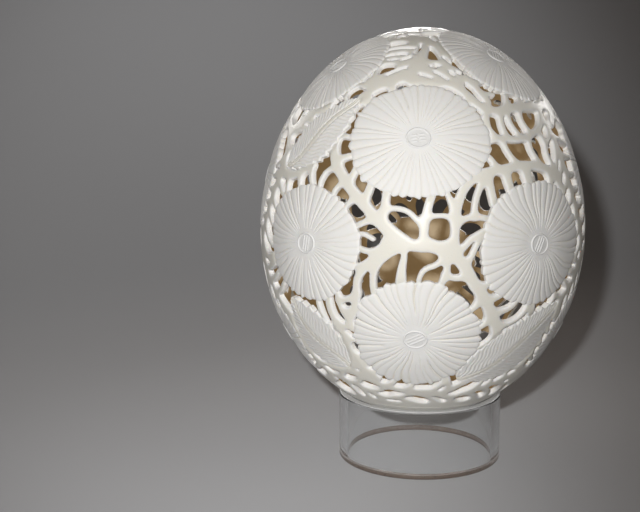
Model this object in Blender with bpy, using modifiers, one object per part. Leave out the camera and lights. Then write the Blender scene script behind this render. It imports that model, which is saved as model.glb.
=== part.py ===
"""Carved ostrich egg on a clear ring stand.

Two pieces: the blown eggshell, pierced all round into one sheet of openwork, and the
clear tube it stands on.  The carving is laid out on the egg in degrees: flower roundels,
leaves, stems drawn between them and fingers that grow off the stems until they meet the
next thing.  Lengths are in millimetres and turn into metres when a mesh is made.
"""
import math

import bmesh
import bpy
import numpy as np
from mathutils import Vector
from mathutils.geometry import delaunay_2d_cdt

MM = 0.001
NAME = "carved_ostrich_egg"

# Egg: half width, half height, taper towards the top, height of its middle.
EGG_A = 62.5
EGG_B = 74.7
EGG_K = -0.0375
EGG_ZC = 93.4
SHELL = 2.1
DRAIN_R = 4.0

# Ring stand: outer radius, wall, broken edges, and the gap that the egg keeps to it.
RING_R = 32.0
RING_WALL = 3.3
RING_ROUND = 0.5
RING_SIDES = 48
GAP = 0.35

# Solid cap round the foot of the egg starts at this angle from the top.
CAP = 147.0
CAP_FILLET = 4.0

# Flowers: angle from the top, angle round (0 in front, + to the right), radius, and how
# much wider than high, as a share of the radius.  Their rims wave: waves to a turn and
# height as a share of the radius.
FLOWERS = (
    (60.9, -1.2, 22.6, 0.09), (90.9, -40.4, 21.4, 0.04), (90.8, 41.5, 23, 0.06),
    (116.6, -1.6, 22.6, 0.01), (36, -60, 20.5, 0), (31.5, 58, 21.5, 0), (75, -88, 20.5, 0),
    (72, 91, 20.5, 0.02), (124, -77, 18.5, 0.03), (122, 77, 18.5, 0), (110, 178, 21.5, 0.03),
    (71, -148, 22, 0.04), (111, -128, 21, 0), (68, 151, 21.5, 0), (106, 125, 20.5, 0.04),
    (27, -173, 20, 0),
)
RIM_WAVES = ((5, 0.018), (3, 0.012))

# Leaves: angle from the top, angle round, heading (0 up, 90 right), length, width, bend.
LEAVES = (
    (59.3, -43.8, 42, 37, 18, 0.25), (118.5, -42, -36, 33, 23, -0.14),
    (121.5, 38, 50, 46, 24, 0.1), (88, -118, 10, 32, 17, 0.2),
    (46, 112, 105, 30, 15, 0.2),
)
# Clear spot inside the fern on the right, which keeps the ruled stems away from it.
FERN = (61.5, 47, 7.0)

# Stems drawn for the front: half width at the start and end, then points as
# (angle round, angle from the top).
STEMS = {
    "trunk": (1.9, 2.3, (
        (-34, 60.5), (-33.2, 65), (-30.3, 69.3), (-25, 74.4), (-19, 79), (-13.4, 83.6),
        (-8.5, 87), (-3, 89.4), (3, 89.8), (8, 91.2), (12, 93.4), (15, 96.6), (17.3, 100),
        (20.5, 103.6), (24, 108.5), (27.5, 114), (29.5, 121), (27, 129.5))),
    "joint": (1.6, 1.6, ((-11, 88.6), (-8.8, 90.3))),
    "side_a": (1.1, 1.0, ((-33.5, 60.2), (-30.5, 60.6), (-26.5, 61))),
    "side_b": (1.3, 1.2, ((-32, 67.6), (-28.7, 66.9), (-25, 66))),
    "upright": (1.7, 1.5, ((0.8, 89.5), (1.1, 84.5), (2.1, 80), (3.6, 76))),
    "lens": (1.0, 1.0, (
        (1, 84.6), (-1.4, 82.8), (-3.6, 81), (-6.5, 80.1), (-10, 80.1), (-13, 81.5))),
    "lens_low": (1.8, 1.8, ((-11.5, 84.2), (-8.6, 86.2), (-5, 88.6))),
    "arch": (0.9, 0.9, ((1, 82.6), (4, 81.9), (8, 81.9), (11, 83.6))),
    "round_low": (1.5, 1.5, ((2, 88.6), (5.7, 89.6), (9.8, 88.8))),
    "branch": (1.6, 1.7, (
        (9.6, 92.5), (10.6, 89.5), (10.8, 86), (11.2, 82), (12.2, 78.2), (15, 74),
        (20.5, 71), (28, 70.2), (36, 69.4), (44, 69.8), (51, 71.8), (55.5, 76))),
    "branch_a": (1.1, 1.1, ((11, 84.2), (14.5, 82.6), (18, 82.3), (22.5, 83))),
    "branch_b": (1.1, 1.2, ((17.3, 82.3), (17.6, 79), (19.2, 75.4), (22.5, 71.5))),
    "branch_c": (1.2, 1.0, ((10.5, 92.4), (13.4, 90.3), (16.2, 87.9), (21, 85.8))),
    "branch_d": (1.2, 0.9, ((14, 95.2), (16, 92.8), (17.8, 89.8), (20, 87.6))),
    "branch_e": (1.1, 1.2, ((8, 97.6), (11, 98.3), (15, 98.2))),
    "branch_f": (1.2, 1.2, ((7, 92), (8.4, 95.5), (7.6, 98), (6.4, 100.5))),
    "under_a": (0.8, 2.0, ((-4.8, 90), (-5.2, 93), (-5.9, 96), (-6.2, 99.5))),
    "under_b": (1.5, 1.2, (
        (-6.5, 90), (-10.2, 92.1), (-13, 94.2), (-14.9, 97), (-15.3, 100), (-15.2, 103))),
    "under_c": (1.0, 0.9, ((7.5, 93), (4.5, 94.9), (2, 95.6), (0.3, 97), (-0.5, 99))),
    "left": (1.6, 1.3, (
        (-12, 91.5), (-16.8, 95), (-20.4, 98.8), (-21.2, 103), (-21.9, 107.5), (-24.5, 111.5))),
    "left_mid": (1.1, 1.2, ((-28.5, 104), (-27.6, 107.8), (-25.8, 111), (-23.2, 115))),
    "left_low": (1.5, 1.7, (
        (-32.5, 105), (-32, 109.5), (-29.8, 114), (-27.6, 118.3), (-28, 123), (-25, 128.5),
        (-19, 133))),
    "left_a": (1.0, 0.9, ((-28.5, 71.2), (-31, 70.2), (-34.5, 70.8), (-36.5, 73.5), (-37, 76))),
    "left_b": (0.9, 0.9, ((-26.3, 73.5), (-29.5, 75.2), (-31.3, 78))),
    "left_c": (1.1, 0.9, ((-21.5, 77.5), (-24.5, 79.3), (-26.5, 81.5))),
    "left_d": (1.2, 1.0, ((-14.5, 83), (-18, 83.8), (-22, 85.3))),
    "left_e": (1.1, 1.0, ((-10.5, 89), (-15, 91.3), (-19, 91.2), (-22, 89.8))),
    "left_tip": (0.9, 0.8, ((-22, 87.6), (-18.5, 87.0), (-15.2, 88.2))),
    "left_f": (1.0, 1.0, ((-14, 93), (-17.5, 94.8), (-21.5, 96))),
    "over_a": (1.2, 1.3, ((-25, 74), (-23.6, 71.2), (-22.4, 68))),
    "over_b": (1.4, 1.5, ((-19, 79), (-17.6, 76), (-16.5, 72.5))),
    "over_c": (1.6, 1.5, ((-12.5, 83), (-11.6, 79), (-11.3, 75))),
    "over_d": (1.0, 1.0, ((10.6, 82), (9.6, 78.5), (8.2, 75))),
    "crown": (1.7, 1.8, (
        (-33, 51.5), (-29.5, 50.4), (-26.3, 47.6), (-22, 45), (-16, 43), (-10, 41.5),
        (-4, 41.5), (2, 42.3), (7, 43), (12, 43.3), (16, 44.5), (19.5, 46.7), (22.5, 49.4),
        (25.5, 51.6), (30, 53), (36, 52.8), (42, 52.2), (52, 52), (62, 52), (74, 51.8),
        (86, 52.5))),
    "band": (1.3, 1.2, (
        (-29, 43), (-33, 43.6), (-37.5, 45.8), (-43, 48.6), (-49, 51.6), (-56, 55.4),
        (-62, 59.6))),
    "band_a": (0.9, 0.9, ((-37.5, 46), (-36.5, 48.6), (-34, 51))),
    "band_b": (0.9, 0.9, ((-43, 48.8), (-43.6, 51.8))),
    "band_c": (0.9, 0.9, ((-50.5, 52.4), (-52.5, 55.5))),
    "field": (2.2, 1.9, (
        (-28, 43.5), (-20, 40.8), (-12, 38.7), (-4, 37.8), (4, 38.3), (11, 40.3), (17, 43.2))),
    "field_high": (1.6, 1.4, (
        (-9, 36.6), (-2, 34.9), (6, 34.4), (13, 35.4), (19, 38.6), (24, 42.4), (27, 46.5),
        (29.5, 50))),
    "crown_a": (2.2, 2.2, ((-27, 48.6), (-24, 49.6))),
    "crown_b": (1.6, 1.6, ((-15, 43), (-14, 45.5))),
    "crown_c": (2.6, 2.4, ((-4, 42.2), (1.5, 42.8), (6, 43.4))),
    "field_a": (1.3, 1.3, ((11, 36.5), (12, 40))),
    "field_b": (1.3, 1.3, ((19.5, 41), (18.2, 44.5))),
    "field_c": (1.5, 1.5, ((24.5, 43), (29, 42.6))),
    "field_d": (1.0, 1.0, ((28, 47), (33.5, 47.5))),
    "field_e": (1.3, 1.3, ((13, 25.5), (15, 30), (16, 36.5))),
    "field_f": (1.0, 1.0, ((-26.5, 34.5), (-25.5, 41.5))),
    "field_g": (1.4, 1.4, ((-13.5, 34.5), (-12, 39.5))),
    "field_h": (0.9, 0.9, ((-31, 36.6), (-22, 34.6), (-14, 34.4), (-7, 34.6))),
    "field_i": (1.2, 1.3, ((1.8, 22.5), (2.2, 27), (1.4, 31), (0, 35.5))),
    "field_j": (1.2, 1.3, ((9, 24.6), (11.6, 28), (13.4, 33))),
    "slot_a": (0.9, 1.0, ((-28, 33.2), (-20, 32), (-12, 31.6), (-5, 32.6))),
    "slot_b": (0.9, 0.9, ((-25, 30), (-14, 28.6), (-2.5, 28.8))),
    "slot_c": (0.8, 0.9, ((-24, 26.4), (-12, 25), (0.5, 25.4))),
    "divide": (1.4, 1.8, ((2, 22.3), (0, 26), (-3, 30), (-5, 34), (-6, 38))),
    "fern_a": (1.1, 0.9, ((27, 53), (26.3, 57), (27.6, 60.5))),
    "fern_b": (1.2, 1.4, (
        (33.5, 53.5), (32.6, 57.5), (34, 61.3), (40, 61.8), (47, 60.6), (53, 58.8),
        (57.5, 55.8), (61, 52.5))),
    "fern_c": (1.1, 1.0, ((37.5, 53), (37, 57), (39.6, 61))),
    "fern_d": (1.1, 1.0, ((44.6, 53), (43.6, 56.6), (45.8, 60.4))),
    "fern_e": (1.0, 1.1, ((27.6, 60.2), (31, 62.6), (32.4, 65.5), (35.8, 69.3))),
    "fern_f": (1.1, 1.1, ((43.8, 61.8), (43.4, 65), (46.2, 69.5))),
    "fern_g": (1.1, 1.1, ((50.8, 60), (52.8, 63.5), (51.8, 67), (54, 72))),
    "fern_h": (1.0, 1.2, ((27.5, 70.3), (24.3, 66.6), (20, 64))),
    "fern_i": (0.8, 0.8, ((34, 61.5), (30, 61.5), (26, 62.2))),
    "right": (1.5, 1.8, (
        (58, 56), (60, 62), (61, 69), (62.5, 77), (66, 85), (69.5, 92), (72.3, 100))),
    "tooth_a": (1.5, 1.5, ((23.2, 71.5), (23.4, 75), (24.2, 79))),
    "tooth_b": (1.8, 1.6, ((30, 70.8), (30.3, 73.5), (31.5, 76.5))),
    "tooth_c": (2.1, 1.9, ((38.2, 70.2), (38.6, 73), (40, 76))),
    "tooth_d": (1.6, 1.4, ((50, 71.5), (50, 74), (49.5, 77))),
    "top_high": (1.2, 1.5, (
        (-48, 22.4), (-36, 20.6), (-22, 20), (-9, 20.8), (2, 22.3), (9, 24.4), (14, 27.5),
        (18, 31.5))),
    "foot_a": (1.6, 1.6, (
        (-42, 131.5), (-33, 131), (-26, 133.2), (-18, 136.4), (-9, 138.2), (1, 138.6),
        (8, 140), (14, 138.6), (20, 135), (27, 131.5))),
    "foot_b": (1.4, 1.1, (
        (-48, 134.5), (-37, 136.8), (-29, 139.5), (-24.5, 142.6), (-18, 144),
        (-10, 142.5), (-3, 140), (2, 138.8))),
    "foot_c": (1.5, 1.5, (
        (8, 140), (16, 142.6), (26, 140.5), (38, 137.5), (50, 134.5), (62, 136),
        (77, 138.5))),
    "side": (1.7, 1.6, (
        (-65, 60.5), (-60.5, 67), (-61, 74), (-64, 80.5), (-68, 87), (-73, 94),
        (-70, 102), (-63, 109), (-57, 115), (-55, 122), (-51, 130), (-48, 134.5))),
    "bridge": (1.1, 1.2, ((-64, 73), (-58, 73.4), (-51, 73.2), (-45.5, 71.6), (-41.5, 69.5))),
    "bridge_a": (1.1, 1.1, ((-42.5, 69.5), (-41.2, 73), (-39.3, 77))),
    "bridge_b": (1.2, 1.1, ((-47, 72), (-46.7, 74.5), (-45.5, 78))),
    "bridge_c": (1.1, 1.0, ((-53.5, 73), (-53.5, 76.5), (-52, 81))),
    "bridge_d": (1.0, 1.1, ((20.8, 48), (19.5, 50), (17.5, 52))),
    "bridge_e": (1.1, 1.2, ((25.8, 55.2), (24.4, 57.6), (21.5, 58.6))),
    "bridge_f": (1.0, 1.2, ((-37.5, 106), (-36.6, 110.5), (-35.2, 115))),
    "bridge_g": (1.6, 1.8, ((40.5, 105), (41.3, 109.5), (41.5, 114))),
    "bridge_h": (1.0, 1.2, ((51.5, 102.5), (52.5, 107), (51, 112))),
    "right_low": (1.3, 1.2, (
        (75.6, 95.8), (67, 102.5), (58, 108.5), (54.5, 115), (52, 123), (49.5, 131),
        (50, 134.5))),
}

# Fingers along drawn stems: stem, side (+1 left of its growth), from, to, spacing.
FINGERS = (
    ("crown", 1, 0.57, 0.97, 6.5), ("crown", -1, 0.72, 0.98, 7.0),
    ("top_high", 1, 0.05, 0.95, 6.0), ("field", -1, 0.15, 0.85, 6.5),
    ("right", 1, 0.05, 0.97, 6.5),
    ("right", -1, 0.02, 0.97, 6.5), ("trunk", 1, 0.64, 0.99, 6.2),
    ("trunk", -1, 0.66, 0.97, 9.0), ("left_low", 1, 0.2, 0.95, 6.0),
    ("left_low", -1, 0.2, 0.95, 6.0), ("left", -1, 0.55, 0.9, 6.0),
    ("foot_a", 1, 0.05, 0.95, 7.5), ("foot_a", -1, 0.0, 0.2, 8.0),
    ("foot_a", -1, 0.8, 1.0, 8.0), ("foot_b", -1, 0.05, 0.98, 7.0),
    ("foot_b", 1, 0.05, 0.5, 7.0), ("foot_c", 1, 0.2, 0.97, 6.5),
    ("foot_c", -1, 0.05, 0.97, 6.5), ("side", 1, 0.03, 0.97, 6.3),
    ("side", -1, 0.06, 0.97, 6.3), ("right_low", 1, 0.05, 0.95, 6.0),
    ("right_low", -1, 0.05, 0.95, 6.0),
)
# Fingers along ruled stems: spacing, then for every finger its half widths, the angle at
# which it leaves, its turn at each step, its longest run, how far ahead it picks the plate
# that it makes for, how deep it ends in one and how near a stem stops it.
SPACING = 7.6
FINGER_START = 1.35
FINGER_END = 1.0
FINGER_SLANT = math.radians(36.0)
FINGER_TURN = math.radians(4.8)
FINGER_STEP = 0.8
FINGER_LONGEST = 24.0
FINGER_LOOK = 7.0
FINGER_BITE = 1.0
FINGER_CLEAR = 0.8
FINGER_FREE = 3.5

# Ruled stems: half width as a share of the room, its limits, farthest plates they part.
RULED_SHARE = 0.26
RULED_HALF = (1.0, 2.2)
WEB_REACH = 45.0

# Fillets where stems meet, and where they meet a plate; steps along stems and fingers.
FILLET = 1.6
PLATE_FILLET = 0.6
LINE_STEP = 0.5
STEM_STEP = 1.5
# Front windows where the drawn stems stand in for the ruled ones:
# angle round from, to, angle from the top from, to.
DRAWN = ((-45, 70, 24, 147), (-75, -45, 62, 136))

# The carving is worked out on a table of angles, this many steps to a degree.
STEPS = 4
FAR = 9.0

# Openings: smallest one cut (square millimetres), allowed departure of its outline.
LEAST_OPENING = 17.0
OUTLINE = 0.67

# Carved relief: pleats of a flower, hub radius, how far out they run, depths.
PLEATS = 10
HUB_R = 6.0
PLEAT_OUT = 0.86
PLEAT_DEPTH = 0.55
HUB_DIP = 0.25
MIDRIB = 0.5
# Rings of plain points that shape the cap: angle from the top, how many.
CAP_RINGS = ((153.0, 26), (160.5, 18), (168.5, 10))


def egg(theta, phi):
    """Points on the egg at angles from the top and round it, in degrees."""
    t = np.radians(theta)
    p = np.radians(phi)
    r = EGG_A * (1.0 + EGG_K * np.cos(t)) * np.sin(t)
    return np.stack([r * np.sin(p), -r * np.cos(p), EGG_ZC + EGG_B * np.cos(t) + 0.0 * p], -1)


def angles(points):
    """Angles round the egg and from its top, in degrees."""
    c = np.clip((points[..., 2] - EGG_ZC) / EGG_B, -1.0, 1.0)
    return (np.degrees(np.arctan2(points[..., 0], -points[..., 1])),
            np.degrees(np.arccos(c)))


def unit(v):
    """Vectors scaled to length one."""
    return v / np.maximum(np.linalg.norm(v, axis=-1, keepdims=True), 1e-12)


def normal(points):
    """Outward unit normals of the egg."""
    c = np.clip((points[..., 2] - EGG_ZC) / EGG_B, -1.0, 1.0)
    s2 = 1.0 - c * c
    g = 1.0 + EGG_K * c
    nz = -EGG_A * EGG_A * (2.0 * g * EGG_K * s2 - 2.0 * g * g * c) / EGG_B
    return unit(np.stack([2.0 * points[..., 0], 2.0 * points[..., 1], nz], -1))


def snap(points):
    """Points moved onto the egg along the line from its middle."""
    mid = np.array([0.0, 0.0, EGG_ZC])
    d = points - mid
    for _ in range(3):
        flat = np.hypot(d[..., 0], d[..., 1])
        t = np.arctan2(flat / EGG_A, d[..., 2] / EGG_B)
        r = EGG_A * (1.0 + EGG_K * np.cos(t)) * np.sin(t) / np.maximum(flat, 1e-9)
        q = np.stack([r * d[..., 0], r * d[..., 1], EGG_B * np.cos(t)], -1)
        d = d * ((q * d).sum(-1) / (d * d).sum(-1))[..., None]
    return d + mid


def frame_at(theta, phi):
    """Point, normal, rightward and upward directions at a place on the egg."""
    p = egg(np.array(float(theta)), np.array(float(phi)))
    n = normal(p)
    east = np.array([math.cos(math.radians(phi)), math.sin(math.radians(phi)), 0.0])
    return p, n, east, unit(np.cross(n, east))


def flower_gap(points, flower):
    """Distance outside a flower's wavy rim, less than nothing within it."""
    theta, phi, radius, oval = flower
    c, _, east, up = frame_at(theta, phi)
    d = points - c
    psi = np.arctan2(d @ up, d @ east)
    wave = sum(share * np.cos(k * psi + math.radians(phi)) for k, share in RIM_WAVES)
    return np.linalg.norm(d, axis=-1) - radius * (1.0 + oval * np.cos(2 * psi) + wave)


def leaf_place(points, leaf):
    """Places along (0 to 1) and across a leaf, its half width there, distance from its middle."""
    theta, phi, heading, length, width, bend = leaf
    c, _, east, up = frame_at(theta, phi)
    d = points - c
    h = math.radians(heading)
    along = math.cos(h) * up + math.sin(h) * east
    across = math.cos(h) * east - math.sin(h) * up
    s = d @ along / length + 0.5
    t = d @ across - bend * length * (0.25 - (s - 0.5) ** 2)
    half = 0.5 * width * np.sin(np.pi * np.clip(s, 0.0, 1.0) ** 0.85) ** 0.75
    return s, t, half, np.linalg.norm(d, axis=-1)


def leaf_gap(points, leaf):
    """Distance outside a leaf's edge, less than nothing within it."""
    s, t, half, away = leaf_place(points, leaf)
    past = np.where((s < 0.0) | (s > 1.0), np.maximum(-s, s - 1.0) * leaf[3], 0.0)
    side = np.abs(t) - half
    gap = np.hypot(np.maximum(side, 0.0), past) + 0.85 * np.minimum(side, 0.0)
    return np.maximum(gap, away - 0.75 * leaf[3])


POLE = np.array([0.0, 0.0, EGG_ZC - EGG_B])
CAP_R = float(np.linalg.norm(egg(np.array(CAP), np.array(0.0)) - POLE))


def plate_list():
    """Every plate of the carving as a pair: its gap function and its middle."""
    plates = []
    for f in FLOWERS:
        plates.append((lambda q, f=f: flower_gap(q, f), frame_at(f[0], f[1])[0]))
    for v in LEAVES:
        plates.append((lambda q, v=v: leaf_gap(q, v), frame_at(v[0], v[1])[0]))
    plates.append((lambda q: np.linalg.norm(q - POLE, axis=-1) - CAP_R, POLE))
    return plates


def discs():
    """Discs that stand for the plates when the ruled stems are laid: middles, radii, plate."""
    mids = []
    radii = []
    owner = []
    for i, f in enumerate(FLOWERS):
        mids.append(frame_at(f[0], f[1])[0])
        radii.append(f[2])
        owner.append(i)
    for j, (theta, phi, heading, length, width, bend) in enumerate(LEAVES):
        c, _, east, up = frame_at(theta, phi)
        h = math.radians(heading)
        along = math.cos(h) * up + math.sin(h) * east
        across = math.cos(h) * east - math.sin(h) * up
        for s, share in ((-0.27, 0.36), (0.0, 0.48), (0.27, 0.34)):
            shift = 0.9 * bend * length * (0.25 - s * s)
            mids.append(snap(c + along * s * length + across * shift))
            radii.append(width * share)
            owner.append(len(FLOWERS) + j)
    owner.append(len(FLOWERS) + len(LEAVES))
    mids.append(POLE)
    radii.append(CAP_R)
    owner.append(-1)
    mids.append(frame_at(FERN[0], FERN[1])[0])
    radii.append(FERN[2])
    return np.array(mids), np.array(radii), np.array(owner)


def triple_points(mids, radii, owner):
    """Places equally far from three discs with no disc nearer, and which three."""
    count = len(mids)
    span = np.linalg.norm(mids[:, None] - mids[None], axis=-1) - radii[:, None] - radii[None]
    near = span < WEB_REACH
    rows = [(i, j, k) for i in range(count) for j in range(i + 1, count) if near[i, j]
            for k in range(j + 1, count)
            if near[i, k] and near[j, k] and len({owner[i], owner[j], owner[k]}) > 1]
    trio = np.array(rows)
    p = snap(mids[trio].mean(1))
    for _ in range(25):
        away = p[:, None] - mids[trio]
        dist = np.linalg.norm(away, axis=-1)
        gap = dist - radii[trio]
        slope = away / dist[..., None]
        n = normal(p)
        east = unit(np.cross(np.array([0.0, 0.0, 1.0]), n))
        up = np.cross(n, east)
        a = np.stack([slope[:, 0] - slope[:, 1], slope[:, 0] - slope[:, 2]], 1)
        f = np.stack([gap[:, 0] - gap[:, 1], gap[:, 0] - gap[:, 2]], -1)
        m = np.stack([(a * east[:, None]).sum(-1), (a * up[:, None]).sum(-1)], -1)
        det = m[:, 0, 0] * m[:, 1, 1] - m[:, 0, 1] * m[:, 1, 0]
        det = np.where(np.abs(det) < 0.05, 0.05 * np.sign(det + 1e-9), det)
        sx = (f[:, 0] * m[:, 1, 1] - f[:, 1] * m[:, 0, 1]) / det
        sy = (m[:, 0, 0] * f[:, 1] - m[:, 1, 0] * f[:, 0]) / det
        ease = np.minimum(1.0, 6.0 / np.maximum(np.hypot(sx, sy), 1e-9))
        p = snap(p - east * (sx * ease)[:, None] - up * (sy * ease)[:, None])
    gap = np.linalg.norm(p[:, None] - mids[trio], axis=-1) - radii[trio]
    least = (np.linalg.norm(p[:, None] - mids[None], axis=-1) - radii[None]).min(1)
    good = (np.ptp(gap, axis=1) < 0.05) & (least > gap.min(1) - 0.05)
    return p[good], trio[good]


def midway_lines(mids, radii, owner, places, trio):
    """Lines that run midway between neighbouring discs: points and the pair of discs."""
    lines = []
    for i in range(len(mids)):
        for j in range(i + 1, len(mids)):
            if owner[i] == owner[j]:
                continue
            ends = [k for k in range(len(trio)) if i in trio[k] and j in trio[k]]
            if len(ends) < 2:
                continue
            axis = np.cross(mids[j] - mids[i], normal(snap((mids[i] + mids[j]) / 2.0)))
            ends.sort(key=lambda k: float(places[k] @ axis))
            for q in range(0, len(ends) // 2 * 2 - 1, 2):
                a = places[ends[q]]
                b = places[ends[q + 1]]
                length = float(np.linalg.norm(a - b))
                if length < 1.0:
                    continue
                share = np.linspace(0.0, 1.0, max(3, int(length / 1.5) + 1))[:, None]
                lines.append((settle(snap(a + (b - a) * share), mids, radii, i, j), i, j))
    return lines


def settle(p, mids, radii, i, j):
    """Inner points of a line moved until they are midway between discs i and j."""
    for _ in range(8):
        ai = p - mids[i]
        aj = p - mids[j]
        di = np.linalg.norm(ai, axis=1)
        dj = np.linalg.norm(aj, axis=1)
        slope = ai / di[:, None] - aj / dj[:, None]
        n = normal(p)
        slope = slope - n * (slope * n).sum(1)[:, None]
        miss = (di - radii[i]) - (dj - radii[j])
        moved = snap(p - slope * (miss / (slope * slope).sum(1))[:, None])
        p[1:-1] = moved[1:-1]
    return p


def resample(points, step):
    """A line's points spaced evenly, about a step apart."""
    runs = np.r_[0.0, np.cumsum(np.linalg.norm(np.diff(points, axis=0), axis=1))]
    at = np.linspace(0.0, runs[-1], max(2, int(round(runs[-1] / step))) + 1)
    return np.stack([np.interp(at, runs, points[:, k]) for k in range(3)], 1)


def drawn_line(spots):
    """Smooth line on the egg through places given as (angle round, angle from the top)."""
    c = egg(np.array([s[1] for s in spots], float), np.array([s[0] for s in spots], float))
    c = np.vstack([2.0 * c[0] - c[1], c, 2.0 * c[-1] - c[-2]])
    t = np.linspace(0.0, 1.0, 24, endpoint=False)[:, None]
    runs = []
    for p0, p1, p2, p3 in zip(c[:-3], c[1:-2], c[2:-1], c[3:]):
        runs.append(0.5 * (2.0 * p1 + (p2 - p0) * t + (2.0 * p0 - 5.0 * p1 + 4.0 * p2 - p3) * t * t
                           + (3.0 * p1 - p0 - 3.0 * p2 + p3) * t ** 3))
    return resample(snap(np.vstack(runs + [c[-2][None]])), LINE_STEP)


def is_drawn(point):
    """Whether a ruled stem here gives way to the drawn ones."""
    phi, theta = angles(point)
    return any(a < phi < b and c < theta < d for a, b, c, d in DRAWN)


def grow_fingers(line, side, start, stop, spacing, own, cloud, plates):
    """Fingers off one side of a line, each curving in until it meets a plate or a stem."""
    length = LINE_STEP * (len(line) - 1)
    count = max(1, int(round(length * (stop - start) / spacing)))
    fingers = []
    for q in range(count):
        at = start + (stop - start) * (q + 0.5) / count
        m = min(len(line) - 2, max(1, int(round(at * (len(line) - 1)))))
        root = line[m]
        forward = unit(line[m + 1] - line[m - 1])
        aside = np.cross(normal(root[None])[0], forward) * side
        probe = snap((root + FINGER_LOOK * aside)[None])
        order = sorted(range(len(plates)), key=lambda k: float(plates[k][0](probe)[0]))[:4]
        goal_at = plates[order[0]][1]
        heading = math.cos(FINGER_SLANT) * forward + math.sin(FINGER_SLANT) * aside
        path = [root]
        run = 0.0
        met = False
        while run < FINGER_LONGEST and not met:
            n = normal(path[-1][None])[0]
            goal = goal_at - path[-1]
            goal = unit(goal - n * (goal @ n))
            turn = np.arctan2(np.cross(heading, goal) @ n, heading @ goal)
            turn = float(np.clip(turn, -FINGER_TURN, FINGER_TURN))
            heading = heading * math.cos(turn) + np.cross(n, heading) * math.sin(turn)
            heading = unit(heading - n * (heading @ n))
            path.append(snap((path[-1] + FINGER_STEP * heading)[None])[0])
            run += FINGER_STEP
            met = min(float(plates[k][0](path[-1][None])[0]) for k in order) < -FINGER_BITE
            if run > FINGER_FREE and not met:
                away = np.linalg.norm(cloud[0] - path[-1], axis=1)
                met = bool((away[cloud[1] != own] < FINGER_CLEAR).any())
        if met and run > 2.0 * FINGER_BITE:
            fingers.append(np.array(path))
    return fingers


def all_stems(plates):
    """Every stem and finger as a line of points with its half widths."""
    mids, radii, owner = discs()
    stems = []
    for half_a, half_b, spots in STEMS.values():
        line = drawn_line(spots)
        stems.append((line, np.linspace(half_a, half_b, len(line)), False))
    for line, i, j in midway_lines(mids, radii, owner, *triple_points(mids, radii, owner)):
        if is_drawn(line[len(line) // 2]):
            continue
        gap = np.linalg.norm(line - mids[i], axis=1) - radii[i]
        if line[0, 2] > line[-1, 2]:
            line = line[::-1]
            gap = gap[::-1]
        fine = resample(line, LINE_STEP)
        gap = np.interp(np.linspace(0, 1, len(fine)), np.linspace(0, 1, len(gap)), gap)
        stems.append((fine, np.clip(RULED_SHARE * gap, *RULED_HALF), True))
    cloud = (np.vstack([s[0] for s in stems]),
             np.concatenate([np.full(len(s[0]), k) for k, s in enumerate(stems)]))
    names = list(STEMS)
    fingers = []
    for name, side, start, stop, spacing in FINGERS:
        k = names.index(name)
        fingers += grow_fingers(stems[k][0], side, start, stop, spacing, k, cloud, plates)
    for k, (line, _, ruled) in enumerate(stems):
        if ruled:
            fingers += grow_fingers(line, 1, 0.02, 0.94, SPACING, k, cloud, plates)
            fingers += grow_fingers(line, -1, 0.06, 0.98, SPACING, k, cloud, plates)
    lines = []
    for line, half, _ in stems:
        coarse = resample(line, STEM_STEP)
        halves = np.interp(np.linspace(0, 1, len(coarse)), np.linspace(0, 1, len(half)), half)
        lines.append((coarse, halves))
    for finger in fingers:
        coarse = resample(finger, STEM_STEP)
        lines.append((coarse, np.linspace(FINGER_START, FINGER_END, len(coarse))))
    return lines


def join(a, b, fillet):
    """Union of two gap fields with a fillet where they meet."""
    h = np.maximum(fillet - np.abs(a - b), 0.0) / fillet
    return np.minimum(a, b) - 0.25 * fillet * h * h


def table_window(points, reach):
    """Rows and columns of the table that lie within reach of the points."""
    phi, theta = angles(points)
    rows = 180 * STEPS
    cols = 360 * STEPS
    first = max(0, int((theta.min() - reach / 1.05) * STEPS) - 1)
    last = min(rows, int((theta.max() + reach / 1.05) * STEPS) + 2)
    flat = float(np.hypot(points[:, 0], points[:, 1]).min())
    chosen = np.arange(cols)
    if flat > 1.3 * reach:
        mid = float(np.degrees(np.angle(np.exp(1j * np.radians(phi)).mean())))
        off = (phi - mid + 180.0) % 360.0 - 180.0
        wide = math.degrees(reach / flat) * 1.15
        a = int(math.floor((mid + off.min() - wide + 180.0) * STEPS))
        b = int(math.ceil((mid + off.max() + wide + 180.0) * STEPS))
        if b - a < cols:
            chosen = np.arange(a, b + 1) % cols
    return np.ix_(np.arange(first, last + 1), chosen)


def carving_table():
    """Gap to the nearest solid part of the carving, over a table of angles."""
    theta = np.linspace(0.0, 180.0, 180 * STEPS + 1)
    phi = np.linspace(-180.0, 180.0, 360 * STEPS, endpoint=False)
    where = egg(*np.meshgrid(theta, phi, indexing="ij"))
    gap = np.full(where.shape[:2], FAR)
    plates = plate_list()
    for line, half in all_stems(plates):
        window = table_window(line, 6.0 + float(half.max()))
        q = where[window]
        best = np.full(q.shape[:2], FAR)
        for a, b, ha, hb in zip(line[:-1], line[1:], half[:-1], half[1:]):
            t = np.clip((q - a) @ (b - a) / ((b - a) @ (b - a)), 0.0, 1.0)
            away = np.linalg.norm(q - a - t[..., None] * (b - a), axis=-1)
            best = np.minimum(best, away - (ha + (hb - ha) * t))
        gap[window] = join(gap[window], best, FILLET)
    for k, (plate, mid) in enumerate(plates[:-1]):
        if k < len(FLOWERS):
            reach = FLOWERS[k][2] + 7.0
        else:
            reach = 0.6 * LEAVES[k - len(FLOWERS)][3] + 8.0
        window = table_window(mid[None], reach)
        gap[window] = join(gap[window], plate(where[window]), PLATE_FILLET)
    return join(gap, plates[-1][0](where), CAP_FILLET)


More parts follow.
